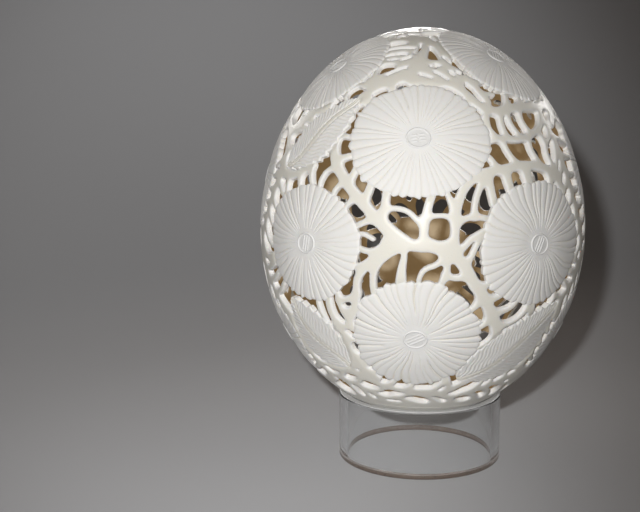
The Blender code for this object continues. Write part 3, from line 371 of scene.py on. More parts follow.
STEMS: tuple[Stem, ...] = (
    Stem("trunk", 1.9, 2.3, (
        (-34, 60.5), (-33.2, 65), (-30.3, 69.3), (-25, 74.4), (-19, 79), (-13.4, 83.6),
        (-8.5, 87), (-3, 89.4), (3, 89.8), (8, 91.2), (12, 93.4), (15, 96.6), (17.3, 100),
        (20.5, 103.6), (24, 108.5), (27.5, 114), (29.5, 121), (27, 129.5))),
    Stem("joint", 1.6, 1.6, ((-11, 88.6), (-8.8, 90.3))),
    Stem("side_a", 1.1, 1.0, ((-33.5, 60.2), (-30.5, 60.6), (-26.5, 61))),
    Stem("side_b", 1.3, 1.2, ((-32, 67.6), (-28.7, 66.9), (-25, 66))),
    Stem("upright", 1.7, 1.5, ((0.8, 89.5), (1.1, 84.5), (2.1, 80), (3.6, 76))),
    Stem("lens", 1.0, 1.0, (
        (1, 84.6), (-1.4, 82.8), (-3.6, 81), (-6.5, 80.1), (-10, 80.1), (-13, 81.5))),
    Stem("lens_low", 1.8, 1.8, ((-11.5, 84.2), (-8.6, 86.2), (-5, 88.6))),
    Stem("arch", 0.9, 0.9, ((1, 82.6), (4, 81.9), (8, 81.9), (11, 83.6))),
    Stem("round_low", 1.5, 1.5, ((2, 88.6), (5.7, 89.6), (9.8, 88.8))),
    Stem("branch", 1.6, 1.7, (
        (9.6, 92.5), (10.6, 89.5), (10.8, 86), (11.2, 82), (12.2, 78.2), (15, 74), (20.5, 71),
        (28, 70.2), (36, 69.4), (44, 69.8), (51, 71.8), (55.5, 76))),
    Stem("branch_a", 1.1, 1.1, ((11, 84.2), (14.5, 82.6), (18, 82.3), (22.5, 83))),
    Stem("branch_b", 1.1, 1.2, ((17.3, 82.3), (17.6, 79), (19.2, 75.4), (22.5, 71.5))),
    Stem("branch_c", 1.2, 1.0, ((10.5, 92.4), (13.4, 90.3), (16.2, 87.9), (21, 85.8))),
    Stem("branch_d", 1.2, 0.9, ((14, 95.2), (16, 92.8), (17.8, 89.8), (20, 87.6))),
    Stem("branch_e", 1.1, 1.2, ((8, 97.6), (11, 98.3), (15, 98.2))),
    Stem("branch_f", 1.2, 1.2, ((7, 92), (8.4, 95.5), (7.6, 98), (6.4, 100.5))),
    Stem("under_a", 0.8, 2.0, ((-4.8, 90), (-5.2, 93), (-5.9, 96), (-6.2, 99.5))),
    Stem("under_b", 1.5, 1.2, (
        (-6.5, 90), (-10.2, 92.1), (-13, 94.2), (-14.9, 97), (-15.3, 100), (-15.2, 103))),
    Stem("under_c", 1.0, 0.9, ((7.5, 93), (4.5, 94.9), (2, 95.6), (0.3, 97), (-0.5, 99))),
    Stem("left", 1.6, 1.3, (
        (-12, 91.5), (-16.8, 95), (-20.4, 98.8), (-21.2, 103), (-21.9, 107.5), (-24.5, 111.5))),
    Stem("left_mid", 1.1, 1.2, ((-28.5, 104), (-27.6, 107.8), (-25.8, 111), (-23.2, 115))),
    Stem("left_low", 1.5, 1.7, (
        (-32.5, 105), (-32, 109.5), (-29.8, 114), (-27.6, 118.3), (-28, 123), (-25, 128.5),
        (-19, 133))),
    Stem("left_a", 1.0, 0.9, (
        (-28.5, 71.2), (-31, 70.2), (-34.5, 70.8), (-36.5, 73.5), (-37, 76))),
    Stem("left_b", 0.9, 0.9, ((-26.3, 73.5), (-29.5, 75.2), (-31.3, 78))),
    Stem("left_c", 1.1, 0.9, ((-21.5, 77.5), (-24.5, 79.3), (-26.5, 81.5))),
    Stem("left_d", 1.2, 1.0, ((-14.5, 83), (-18, 83.8), (-22, 85.3))),
    Stem("left_e", 1.1, 1.0, ((-10.5, 89), (-15, 91.3), (-19, 91.2), (-22, 89.8))),
    Stem("left_tip", 0.9, 0.8, ((-22, 87.6), (-18.5, 87.0), (-15.2, 88.2))),
    Stem("left_f", 1.0, 1.0, ((-14, 93), (-17.5, 94.8), (-21.5, 96))),
    Stem("over_a", 1.2, 1.3, ((-25, 74), (-23.6, 71.2), (-22.4, 68))),
    Stem("over_b", 1.4, 1.5, ((-19, 79), (-17.6, 76), (-16.5, 72.5))),
    Stem("over_c", 1.6, 1.5, ((-12.5, 83), (-11.6, 79), (-11.3, 75))),
    Stem("over_d", 1.0, 1.0, ((10.6, 82), (9.6, 78.5), (8.2, 75))),
    Stem("crown", 1.7, 1.8, (
        (-33, 51.5), (-29.5, 50.4), (-26.3, 47.6), (-22, 45), (-16, 43), (-10, 41.5),
        (-4, 41.5), (2, 42.3), (7, 43), (12, 43.3), (16, 44.5), (19.5, 46.7), (22.5, 49.4),
        (25.5, 51.6), (30, 53), (36, 52.8), (42, 52.2), (52, 52), (62, 52), (74, 51.8),
        (86, 52.5))),
    Stem("band", 1.3, 1.2, (
        (-29, 43), (-33, 43.6), (-37.5, 45.8), (-43, 48.6), (-49, 51.6), (-56, 55.4),
        (-62, 59.6))),
    Stem("band_a", 0.9, 0.9, ((-37.5, 46), (-36.5, 48.6), (-34, 51))),
    Stem("band_b", 0.9, 0.9, ((-43, 48.8), (-43.6, 51.8))),
    Stem("band_c", 0.9, 0.9, ((-50.5, 52.4), (-52.5, 55.5))),
    Stem("field", 2.2, 1.9, (
        (-28, 43.5), (-20, 40.8), (-12, 38.7), (-4, 37.8), (4, 38.3), (11, 40.3), (17, 43.2))),
    Stem("field_high", 1.6, 1.4, (
        (-9, 36.6), (-2, 34.9), (6, 34.4), (13, 35.4), (19, 38.6), (24, 42.4), (27, 46.5),
        (29.5, 50))),
    Stem("crown_a", 2.2, 2.2, ((-27, 48.6), (-24, 49.6))),
    Stem("crown_b", 1.6, 1.6, ((-15, 43), (-14, 45.5))),
    Stem("crown_c", 2.6, 2.4, ((-4, 42.2), (1.5, 42.8), (6, 43.4))),
    Stem("field_a", 1.3, 1.3, ((11, 36.5), (12, 40))),
    Stem("field_b", 1.3, 1.3, ((19.5, 41), (18.2, 44.5))),
    Stem("field_c", 1.5, 1.5, ((24.5, 43), (29, 42.6))),
    Stem("field_d", 1.0, 1.0, ((28, 47), (33.5, 47.5))),
    Stem("field_e", 1.3, 1.3, ((13, 25.5), (15, 30), (16, 36.5))),
    Stem("field_f", 1.0, 1.0, ((-26.5, 34.5), (-25.5, 41.5))),
    Stem("field_g", 1.4, 1.4, ((-13.5, 34.5), (-12, 39.5))),
    Stem("field_h", 0.9, 0.9, ((-31, 36.6), (-22, 34.6), (-14, 34.4), (-7, 34.6))),
    Stem("field_i", 1.2, 1.3, ((1.8, 22.5), (2.2, 27), (1.4, 31), (0, 35.5))),
    Stem("field_j", 1.2, 1.3, ((9, 24.6), (11.6, 28), (13.4, 33))),
    Stem("slot_a", 0.9, 1.0, ((-28, 33.2), (-20, 32), (-12, 31.6), (-5, 32.6))),
    Stem("slot_b", 0.9, 0.9, ((-25, 30), (-14, 28.6), (-2.5, 28.8))),
    Stem("slot_c", 0.8, 0.9, ((-24, 26.4), (-12, 25), (0.5, 25.4))),
    Stem("divide", 1.4, 1.8, ((2, 22.3), (0, 26), (-3, 30), (-5, 34), (-6, 38))),
    Stem("fern_a", 1.1, 0.9, ((27, 53), (26.3, 57), (27.6, 60.5))),
    Stem("fern_b", 1.2, 1.4, (
        (33.5, 53.5), (32.6, 57.5), (34, 61.3), (40, 61.8), (47, 60.6), (53, 58.8),
        (57.5, 55.8), (61, 52.5))),
    Stem("fern_c", 1.1, 1.0, ((37.5, 53), (37, 57), (39.6, 61))),
    Stem("fern_d", 1.1, 1.0, ((44.6, 53), (43.6, 56.6), (45.8, 60.4))),
    Stem("fern_e", 1.0, 1.1, ((27.6, 60.2), (31, 62.6), (32.4, 65.5), (35.8, 69.3))),
    Stem("fern_f", 1.1, 1.1, ((43.8, 61.8), (43.4, 65), (46.2, 69.5))),
    Stem("fern_g", 1.1, 1.1, ((50.8, 60), (52.8, 63.5), (51.8, 67), (54, 72))),
    Stem("fern_h", 1.0, 1.2, ((27.5, 70.3), (24.3, 66.6), (20, 64))),
    Stem("fern_i", 0.8, 0.8, ((34, 61.5), (30, 61.5), (26, 62.2))),
    Stem("right", 1.5, 1.8, (
        (58, 56), (60, 62), (61, 69), (62.5, 77), (66, 85), (69.5, 92), (72.3, 100))),
    Stem("tooth_a", 1.5, 1.5, ((23.2, 71.5), (23.4, 75), (24.2, 79))),
    Stem("tooth_b", 1.8, 1.6, ((30, 70.8), (30.3, 73.5), (31.5, 76.5))),
    Stem("tooth_c", 2.1, 1.9, ((38.2, 70.2), (38.6, 73), (40, 76))),
    Stem("tooth_d", 1.6, 1.4, ((50, 71.5), (50, 74), (49.5, 77))),
    Stem("top_high", 1.2, 1.5, (
        (-48, 22.4), (-36, 20.6), (-22, 20), (-9, 20.8), (2, 22.3), (9, 24.4), (14, 27.5),
        (18, 31.5))),
    Stem("foot_a", 1.6, 1.6, (
        (-42, 131.5), (-33, 131), (-26, 133.2), (-18, 136.4), (-9, 138.2), (1, 138.6), (8, 140),
        (14, 138.6), (20, 135), (27, 131.5))),
    Stem("foot_b", 1.4, 1.1, (
        (-48, 134.5), (-37, 136.8), (-29, 139.5), (-24.5, 142.6), (-18, 144), (-10, 142.5),
        (-3, 140), (2, 138.8))),
    Stem("foot_c", 1.5, 1.5, (
        (8, 140), (16, 142.6), (26, 140.5), (38, 137.5), (50, 134.5), (62, 136), (77, 138.5))),
    Stem("side", 1.7, 1.6, (
        (-65, 60.5), (-60.5, 67), (-61, 74), (-64, 80.5), (-68, 87), (-73, 94), (-70, 102),
        (-63, 109), (-57, 115), (-55, 122), (-51, 130), (-48, 134.5))),
    Stem("bridge", 1.1, 1.2, ((-64, 73), (-58, 73.4), (-51, 73.2), (-45.5, 71.6), (-41.5, 69.5))),
    Stem("bridge_a", 1.1, 1.1, ((-42.5, 69.5), (-41.2, 73), (-39.3, 77))),
    Stem("bridge_b", 1.2, 1.1, ((-47, 72), (-46.7, 74.5), (-45.5, 78))),
    Stem("bridge_c", 1.1, 1.0, ((-53.5, 73), (-53.5, 76.5), (-52, 81))),
    Stem("bridge_d", 1.0, 1.1, ((20.8, 48), (19.5, 50), (17.5, 52))),
    Stem("bridge_e", 1.1, 1.2, ((25.8, 55.2), (24.4, 57.6), (21.5, 58.6))),
    Stem("bridge_f", 1.0, 1.2, ((-37.5, 106), (-36.6, 110.5), (-35.2, 115))),
    Stem("bridge_g", 1.6, 1.8, ((40.5, 105), (41.3, 109.5), (41.5, 114))),
    Stem("bridge_h", 1.0, 1.2, ((51.5, 102.5), (52.5, 107), (51, 112))),
    Stem("right_low", 1.3, 1.2, (
        (75.6, 95.8), (67, 102.5), (58, 108.5), (54.5, 115), (52, 123), (49.5, 131),
        (50, 134.5))),
)

RUNS: tuple[FingerRun, ...] = (
    FingerRun("crown", 1, 0.57, 0.97, 6.5), FingerRun("crown", -1, 0.72, 0.98, 7.0),
    FingerRun("top_high", 1, 0.05, 0.95, 6.0), FingerRun("field", -1, 0.15, 0.85, 6.5),
    FingerRun("right", 1, 0.05, 0.97, 6.5), FingerRun("right", -1, 0.02, 0.97, 6.5),
    FingerRun("trunk", 1, 0.64, 0.99, 6.2), FingerRun("trunk", -1, 0.66, 0.97, 9.0),
    FingerRun("left_low", 1, 0.2, 0.95, 6.0), FingerRun("left_low", -1, 0.2, 0.95, 6.0),
    FingerRun("left", -1, 0.55, 0.9, 6.0), FingerRun("foot_a", 1, 0.05, 0.95, 7.5),
    FingerRun("foot_a", -1, 0.0, 0.2, 8.0), FingerRun("foot_a", -1, 0.8, 1.0, 8.0),
    FingerRun("foot_b", -1, 0.05, 0.98, 7.0), FingerRun("foot_b", 1, 0.05, 0.5, 7.0),
    FingerRun("foot_c", 1, 0.2, 0.97, 6.5), FingerRun("foot_c", -1, 0.05, 0.97, 6.5),
    FingerRun("side", 1, 0.03, 0.97, 6.3), FingerRun("side", -1, 0.06, 0.97, 6.3),
    FingerRun("right_low", 1, 0.05, 0.95, 6.0), FingerRun("right_low", -1, 0.05, 0.95, 6.0),
)


# ---------------------------------------------------------------- the carving


@dataclass(frozen=True)
class FingerRule:
    """How a finger grows off its stem until it meets a motif or another stem."""

    spacing: float = 7.6
    start: float = 1.35
    end: float = 1.0
    slant: float = math.radians(36.0)
    turn: float = math.radians(4.8)
    step: float = 0.8
    longest: float = 24.0
    look: float = 7.0
    bite: float = 1.0
    clear: float = 0.8
    free: float = 3.5


@dataclass
class Line:
    """A stem or finger as points along it with the half width at each."""

    points: Array
    half: Array


def resample(points: Array, step: float) -> Array:
    """A line's points spaced evenly, about a step apart, by its running length."""
    runs = np.r_[0.0, np.cumsum(np.linalg.norm(np.diff(points, axis=0), axis=1))]
    at = np.linspace(0.0, runs[-1], max(2, int(round(runs[-1] / step))) + 1)
    return np.stack([np.interp(at, runs, points[:, k]) for k in range(3)], 1)


def stretch(values: Array, count: int) -> Array:
    """Values spread evenly over another count."""
    return np.interp(np.linspace(0, 1, count), np.linspace(0, 1, len(values)), values)


def join(a: Array, b: Array, fillet: float) -> Array:
    """Union of two gap fields: the smaller one, less a parabola where they are close."""
    h = np.maximum(fillet - np.abs(a - b), 0.0) / fillet
    return np.minimum(a, b) - 0.25 * fillet * h * h


@dataclass
class Carving:
    """The layout of the whole carving, as tables of gaps over the two angles."""

    rule: FingerRule = FingerRule()
    steps: int = 4
    line_step: float = 0.5
    stem_step: float = 1.5
    fillet: float = 1.6
    plate_fillet: float = 0.6
    foot_fillet: float = 4.0
    ruled_share: float = 0.26
    ruled_half: tuple[float, float] = (1.0, 2.2)
    reach: float = 45.0
    margin: float = 6.0
    least_stem: float = 1.0
    fern: tuple[float, float, float] = (61.5, 47.0, 7.0)
    drawn: tuple[tuple[float, ...], ...] = ((-45, 70, 24, 147), (-75, -45, 62, 136))
    inset: float = 1.0
    web: Array = field(default_factory=lambda: np.zeros(0))
    plates: Array = field(default_factory=lambda: np.zeros(0))

    def curve(self, spots: Sequence[tuple[float, float]]) -> Array:
        """Smooth line through places (phi, theta): a spline that passes every one.

        Args:
            spots: the places, in degrees.

        Returns:
            Points on the egg, a line step apart.
        """
        c = EGG.point(np.array([s[1] for s in spots], float),
                      np.array([s[0] for s in spots], float))
        c = np.vstack([2.0 * c[0] - c[1], c, 2.0 * c[-1] - c[-2]])
        t = np.linspace(0.0, 1.0, 24, endpoint=False)[:, None]
        runs = [0.5 * (2.0 * b + (d - a) * t + (2.0 * a - 5.0 * b + 4.0 * d - e) * t * t
                       + (3.0 * b - a - 3.0 * d + e) * t ** 3)
                for a, b, d, e in zip(c[:-3], c[1:-2], c[2:-1], c[3:])]
        return resample(EGG.snap(np.vstack(runs + [c[-2][None]])), self.line_step)

    def discs(self) -> tuple[Array, Array, Array]:
        """Discs that stand for the motifs while the ruled stems are laid.

        Returns:
            Their middles, radii and the number of the motif each belongs to.
        """
        mids = [f.plane().origin for f in FLOWERS]
        radii = [f.radius for f in FLOWERS]
        owner = list(range(len(FLOWERS)))
        for j, leaf in enumerate(LEAVES):
            plane = leaf.plane()
            for s, share in ((-0.27, 0.36), (0.0, 0.48), (0.27, 0.34)):
                aside = 0.9 * leaf.bend * leaf.length * (0.25 - s * s)
                spot = plane.origin + plane.up * s * leaf.length + plane.east * aside
                mids.append(EGG.snap(spot))
                radii.append(leaf.width * share)
                owner.append(len(FLOWERS) + j)
        mids += [FOOT.pole(), EGG.tangent(self.fern[0], self.fern[1]).origin]
        radii += [FOOT.radius(), self.fern[2]]
        owner += [len(FLOWERS) + len(LEAVES), -1]
        return np.array(mids), np.array(radii), np.array(owner)

    def meeting_places(self, mids: Array, radii: Array, owner: Array) -> tuple[Array, Array]:
        """Places equally far from three discs with none nearer, by Newton's steps.

        Args:
            mids: middles of the discs.
            radii: their radii.
            owner: the motif of each.

        Returns:
            The places and the three discs of each.
        """
        count = len(mids)
        span = np.linalg.norm(mids[:, None] - mids[None], axis=-1)
        near = span - radii[:, None] - radii[None] < self.reach
        trio = np.array([(i, j, k) for i in range(count)
                         for j in range(i + 1, count) if near[i, j]
                         for k in range(j + 1, count) if near[i, k] and near[j, k]
                         and len({owner[i], owner[j], owner[k]}) > 1])
        p = EGG.snap(mids[trio].mean(1))
        for _ in range(25):
            away = p[:, None] - mids[trio]
            dist = np.linalg.norm(away, axis=-1)
            gap = dist - radii[trio]
            slope = away / dist[..., None]
            out = EGG.normal(p)
            east = unit(np.cross(np.array([0.0, 0.0, 1.0]), out))
            up = np.cross(out, east)
            a = np.stack([slope[:, 0] - slope[:, 1], slope[:, 0] - slope[:, 2]], 1)
            f = np.stack([gap[:, 0] - gap[:, 1], gap[:, 0] - gap[:, 2]], -1)
            m = np.stack([(a * east[:, None]).sum(-1), (a * up[:, None]).sum(-1)], -1)
            det = m[:, 0, 0] * m[:, 1, 1] - m[:, 0, 1] * m[:, 1, 0]
            det = np.where(np.abs(det) < 0.05, 0.05 * np.sign(det + 1e-9), det)
            sx = (f[:, 0] * m[:, 1, 1] - f[:, 1] * m[:, 0, 1]) / det
            sy = (m[:, 0, 0] * f[:, 1] - m[:, 1, 0] * f[:, 0]) / det
            calm = np.minimum(1.0, 6.0 / np.maximum(np.hypot(sx, sy), 1e-9))
            p = EGG.snap(p - east * (sx * calm)[:, None] - up * (sy * calm)[:, None])
        gap = np.linalg.norm(p[:, None] - mids[trio], axis=-1) - radii[trio]
        least = (np.linalg.norm(p[:, None] - mids[None], axis=-1) - radii[None]).min(1)
        good = (np.ptp(gap, axis=1) < 0.05) & (least > gap.min(1) - 0.05)
        return p[good], trio[good]

    def settle(self, p: Array, mids: Array, radii: Array, i: int, j: int) -> Array:
        """Inner points of a line moved until they are midway between discs i and j."""
        for _ in range(8):
            ai = p - mids[i]
            aj = p - mids[j]
            di = np.linalg.norm(ai, axis=1)
            dj = np.linalg.norm(aj, axis=1)
            slope = ai / di[:, None] - aj / dj[:, None]
            out = EGG.normal(p)
            slope = slope - out * (slope * out).sum(1)[:, None]
            miss = (di - radii[i]) - (dj - radii[j])
            moved = EGG.snap(p - slope * (miss / (slope * slope).sum(1))[:, None])
            p[1:-1] = moved[1:-1]
        return p

    def ruled_stems(self) -> list[Line]:
        """Stems midway between neighbouring motifs, where no stem is listed."""
        mids, radii, owner = self.discs()
        places, trio = self.meeting_places(mids, radii, owner)
        pairs = [(i, j) for i in range(len(mids)) for j in range(i + 1, len(mids))
                 if owner[i] != owner[j]]
        stems = []
        for i, j in pairs:
            ends = [k for k in range(len(trio)) if i in trio[k] and j in trio[k]]
            axis = np.cross(mids[j] - mids[i], EGG.normal(EGG.snap((mids[i] + mids[j]) / 2.0)))
            ends.sort(key=lambda k: float(places[k] @ axis))
            for q in range(0, len(ends) // 2 * 2 - 1, 2):
                a, b = places[ends[q]], places[ends[q + 1]]
                length = float(np.linalg.norm(a - b))
                if length < self.least_stem:
                    continue
                count = max(3, int(length / self.stem_step) + 1)
                share = np.linspace(0.0, 1.0, count)[:, None]
                line = self.settle(EGG.snap(a + (b - a) * share), mids, radii, i, j)
                if self.is_drawn(line[len(line) // 2]):
                    continue
                if line[0, 2] > line[-1, 2]:
                    line = line[::-1]
                room = np.linalg.norm(line - mids[i], axis=1) - radii[i]
                fine = resample(line, self.line_step)
                room = stretch(room, len(fine))
                stems.append(Line(fine, np.clip(self.ruled_share * room, *self.ruled_half)))
        return stems

    def is_drawn(self, point: Array) -> bool:
        """Whether a ruled stem here gives way to the listed ones."""
        theta, phi = EGG.angles(point)
        return any(a < phi < b and c < theta < d for a, b, c, d in self.drawn)

    def plate_gaps(self, points: Array) -> Array:
        """Gaps of points to every flower, leaf and the foot, one column each."""
        motifs = [*FLOWERS, *LEAVES, FOOT]
        return np.stack([m.gap(points) for m in motifs], -1)

    def fingers(self, stems: Sequence[Line], jobs: Sequence[tuple]) -> list[Line]:
        """All fingers, grown together one step at a time.

        A finger leaves its stem at a slant and turns by at most a fixed angle a step
        towards the nearest motif.  It ends in a motif or close to another stem.

        Args:
            stems: every stem.
            jobs: stem number, side, from, to and spacing of each run of fingers.

        Returns:
            The fingers that met something.
        """
        rule = self.rule
        roots, forward, own, sides = [], [], [], []
        for k, side, start, stop, spacing in jobs:
            line = stems[k].points
            length = self.line_step * (len(line) - 1)
            count = max(1, int(round(length * (stop - start) / spacing)))
            at = start + (stop - start) * (np.arange(count) + 0.5) / count
            m = np.clip(np.round(at * (len(line) - 1)).astype(int), 1, len(line) - 2)
            roots.append(line[m])
            forward.append(unit(line[m + 1] - line[m - 1]))
            own.append(np.full(count, k))
            sides.append(np.full(count, float(side)))
        tip = np.vstack(roots)
        ahead = np.vstack(forward)
        own = np.concatenate(own)
        aside = np.cross(EGG.normal(tip), ahead) * np.concatenate(sides)[:, None]
        near = np.argsort(self.plate_gaps(EGG.snap(tip + rule.look * aside)), axis=1)[:, :4]
        middles = np.array([m.plane().origin for m in (*FLOWERS, *LEAVES)] + [FOOT.pole()])
        goal_at = middles[near[:, 0]]
        heading = math.cos(rule.slant) * ahead + math.sin(rule.slant) * aside
        tree, owners = self.stem_tree(stems)
        paths = [tip]
        length = np.zeros(len(tip), int)
        alive = np.ones(len(tip), bool)
        for count in range(1, int(math.ceil(rule.longest / rule.step)) + 1):
            out = EGG.normal(tip)
            goal = goal_at - tip
            goal = unit(goal - out * (goal * out).sum(1)[:, None])
            turned = np.cross(heading, goal)
            turn = np.arctan2((turned * out).sum(1), (heading * goal).sum(1))
            turn = np.clip(turn, -rule.turn, rule.turn)[:, None]
            heading = heading * np.cos(turn) + np.cross(out, heading) * np.sin(turn)
            heading = unit(heading - out * (heading * out).sum(1)[:, None])
            tip = EGG.snap(tip + rule.step * heading)
            paths.append(tip)
            met = np.take_along_axis(self.plate_gaps(tip), near, 1).min(1) < -rule.bite
            if count * rule.step > rule.free:
                for q in np.nonzero(alive & ~met)[0]:
                    found = tree.find_range(tip[q], rule.clear)
                    met[q] = any(owners[index] != own[q] for _, index, _ in found)
            length[alive & met] = count
            alive &= ~met
        paths = np.stack(paths, 1)
        lines = []
        for q in np.nonzero(length * rule.step > 2.0 * rule.bite)[0]:
            line = resample(paths[q, :length[q] + 1], self.stem_step)
            lines.append(Line(line, np.linspace(rule.start, rule.end, len(line))))
        return lines

    def stem_tree(self, stems: Sequence[Line]) -> tuple[KDTree, Array]:
        """Every stem's points in a search tree, and the stem that each belongs to."""
        cloud = np.vstack([s.points for s in stems])
        owners = np.concatenate([np.full(len(s.points), k) for k, s in enumerate(stems)])
        tree = KDTree(len(cloud))
        for k, point in enumerate(cloud):
            tree.insert(point, k)
        tree.balance()
        return tree, owners

    def lines(self) -> list[Line]:
        """Every stem and finger of the carving."""
        hand = [self.curve(s.spots) for s in STEMS]
        stems = [Line(points, np.linspace(s.start, s.end, len(points)))
                 for points, s in zip(hand, STEMS)]
        stems += self.ruled_stems()
        names = [s.name for s in STEMS]
        jobs = [(names.index(r.stem), r.side, r.start, r.stop, r.spacing) for r in RUNS]
        for k in range(len(STEMS), len(stems)):
            jobs += [(k, 1, 0.02, 0.94, self.rule.spacing), (k, -1, 0.06, 0.98, self.rule.spacing)]
        coarse = []
        for stem in stems:
            points = resample(stem.points, self.stem_step)
            coarse.append(Line(points, stretch(stem.half, len(points))))
        return coarse + self.fingers(stems, jobs)

    def window(self, points: Array, reach: float) -> tuple[Array, Array]:
        """Rows and columns of the table within reach of the points."""
        theta, phi = EGG.angles(points)
        rows = 180 * self.steps
        cols = 360 * self.steps
        first = max(0, int((theta.min() - reach / 1.05) * self.steps) - 1)
        last = min(rows, int((theta.max() + reach / 1.05) * self.steps) + 2)
        flat = float(np.hypot(points[:, 0], points[:, 1]).min())
        chosen = np.arange(cols)
        if flat > 1.3 * reach:
            mid = float(np.degrees(np.angle(np.exp(1j * np.radians(phi)).mean())))
            off = (phi - mid + 180.0) % 360.0 - 180.0
            wide = math.degrees(reach / flat) * 1.15
            a = int(math.floor((mid + off.min() - wide + 180.0) * self.steps))
            b = int(math.ceil((mid + off.max() + wide + 180.0) * self.steps))
            if b - a < cols:
                chosen = np.arange(a, b + 1) % cols
        return np.ix_(np.arange(first, last + 1), chosen)

    def line_gap(self, line: Line, points: Array) -> Array:
        """Distance of points from a line's edge, less than nothing within it."""
        best = np.full(points.shape[:2], FAR)
        for a, b, ha, hb in zip(line.points[:-1], line.points[1:],
                                line.half[:-1], line.half[1:]):
            t = np.clip((points - a) @ (b - a) / ((b - a) @ (b - a)), 0.0, 1.0)
            away = np.linalg.norm(points - a - t[..., None] * (b - a), axis=-1)
            best = np.minimum(best, away - (ha + (hb - ha) * t))
        return best

    def cut_slots(self, web: Array, where: Array) -> None:
        """Takes the fine slots out of the openwork's table."""
        for slot in SLOTS:
            points = self.curve(slot.spots)
            window = self.window(points, self.margin)
            line = Line(points, np.linspace(slot.start, slot.end, len(points)))
            web[window] = np.maximum(web[window], -self.line_gap(line, where[window]))

    def work_out(self) -> None:
        """Fills both tables: the openwork with the motifs drawn in, and the motifs."""
        theta = np.linspace(0.0, 180.0, 180 * self.steps + 1)
        phi = np.linspace(-180.0, 180.0, 360 * self.steps, endpoint=False)
        where = EGG.point(*np.meshgrid(theta, phi, indexing="ij"))
        web = np.full(where.shape[:2], FAR)
        for line in self.lines():
            window = self.window(line.points, self.margin + float(line.half.max()))
            web[window] = join(web[window], self.line_gap(line, where[window]), self.fillet)
        plates = np.full(web.shape, FAR)
        for motif in (*FLOWERS, *LEAVES):
            size = motif.radius if isinstance(motif, Flower) else 0.6 * motif.length
            window = self.window(motif.plane().origin[None], size + 9.0)
            gap = motif.gap(where[window])
            plates[window] = np.minimum(plates[window], gap)
            web[window] = join(web[window], gap + self.inset, self.plate_fillet)
        self.cut_slots(web, where)
        self.web = join(web, FOOT.gap(where), self.foot_fillet)
        self.plates = plates

    def sample(self, table: Array, theta: Array, phi: Array) -> Array:
        """A table's values at any angles, between the nearest four in proportion."""
        rows, cols = table.shape
        y = np.clip(theta * self.steps, 0.0, rows - 1.001)
        x = ((phi + 180.0) * self.steps) % cols
        i = y.astype(int)
        j = x.astype(int) % cols
        k = (j + 1) % cols
        fy = y - i
        fx = x - np.floor(x)
        return ((table[i, j] * (1 - fx) + table[i, k] * fx) * (1 - fy)
                + (table[i + 1, j] * (1 - fx) + table[i + 1, k] * fx) * fy)


# ---------------------------------------------------------------- meshes


@dataclass
class Shape:
    """Points in millimetres with two tones each, the cut share and the groove tone that paints
    shade into grooves, and groups of faces with a finish.
    """

    points: Array
    cut: Array
    groove: Array
    groups: list[tuple[Array, int]]


def make_piece(name: str, shapes: Sequence[Shape], finishes: Sequence[bpy.types.Material],
               sharp: float = 50.0) -> bpy.types.Object:
    """One mesh object of several shapes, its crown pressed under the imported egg's top.

    Args:
        name: the object's name.
        shapes: its shapes.
        finishes: its materials, which the groups of faces number.
        sharp: angle in degrees over which an edge stays sharp.

    Returns:
        The object, at the origin, with its place in its mesh.
    """
    points = np.vstack([s.points for s in shapes]) * MM
    top = (EGG.middle + EGG.half_height) * MM
    points[:, 2] -= (top - CAD_BOX[1][2]) * ease(top - 8.0 * MM, top, points[:, 2])
    corners, starts, kinds = [], [], []
    base = 0
    loops = 0
    for shape in shapes:
        for faces, finish in shape.groups:
            size = faces.shape[1]
            corners.append((faces + base).ravel())
            starts.append(loops + size * np.arange(len(faces)))
            kinds.append(np.full(len(faces), finish))
            loops += size * len(faces)
        base += len(shape.points)
    corner = np.concatenate(corners).astype(np.int32)
    start = np.concatenate(starts).astype(np.int32)
    mesh = bpy.data.meshes.new(name)
    mesh.vertices.add(len(points))
    mesh.vertices.foreach_set("co", points.astype(np.float32).ravel())
    mesh.loops.add(len(corner))
    mesh.loops.foreach_set("vertex_index", corner)
    mesh.polygons.add(len(start))
    mesh.polygons.foreach_set("loop_start", start)
    # the groove tone is painted shade for grooves; the cut tone is the carved share
    for label in ("cut", "groove"):
        tones = np.concatenate([getattr(s, label) for s in shapes]).astype(np.float32)
        mesh.attributes.new(label, "FLOAT", "POINT").data.foreach_set("value", tones)
    for finish in finishes:
        mesh.materials.append(finish)
    mesh.polygons.foreach_set("material_index", np.concatenate(kinds).astype(np.int32))
    mesh.update(calc_edges=True)
    mesh.validate()
    mesh.shade_smooth()
    mesh.set_sharp_from_angle(angle=math.radians(sharp))
    piece = bpy.data.objects.new(name, mesh)
    bpy.context.scene.collection.objects.link(piece)
    LOG.info("%s: %d vertices, %d faces", name, len(points), len(start))
    return piece


def grid_faces(rows: int, cols: int, wrap: bool) -> Array:
    """Faces between neighbouring rows and columns, turned down and then to the right.

    Args:
        rows: number of rows of points.
        cols: points in a row.
        wrap: whether the last column meets the first.

    Returns:
        Four point numbers for each face.
    """
    i, j = np.meshgrid(np.arange(rows - 1), np.arange(cols if wrap else cols - 1), indexing="ij")
    k = (j + 1) % cols
    return np.stack([i * cols + j, (i + 1) * cols + j, (i + 1) * cols + k, i * cols + k],
                    -1).reshape(-1, 4)


def fan_faces(pole: int, first: int, count: int) -> Array:
    """Triangles between a pole and the ring of points that starts at first."""
    k = np.arange(count)
    return np.stack([np.full(count, pole), first + k, first + (k + 1) % count], -1)


def band_faces(upper: int, lower: int, count: int) -> Array:
    """Faces between two rings of points that start at upper and at lower."""
    k = np.arange(count)
    ahead = (k + 1) % count
    return np.stack([upper + k, lower + k, lower + ahead, upper + ahead], -1)


# ---------------------------------------------------------------- the openwork


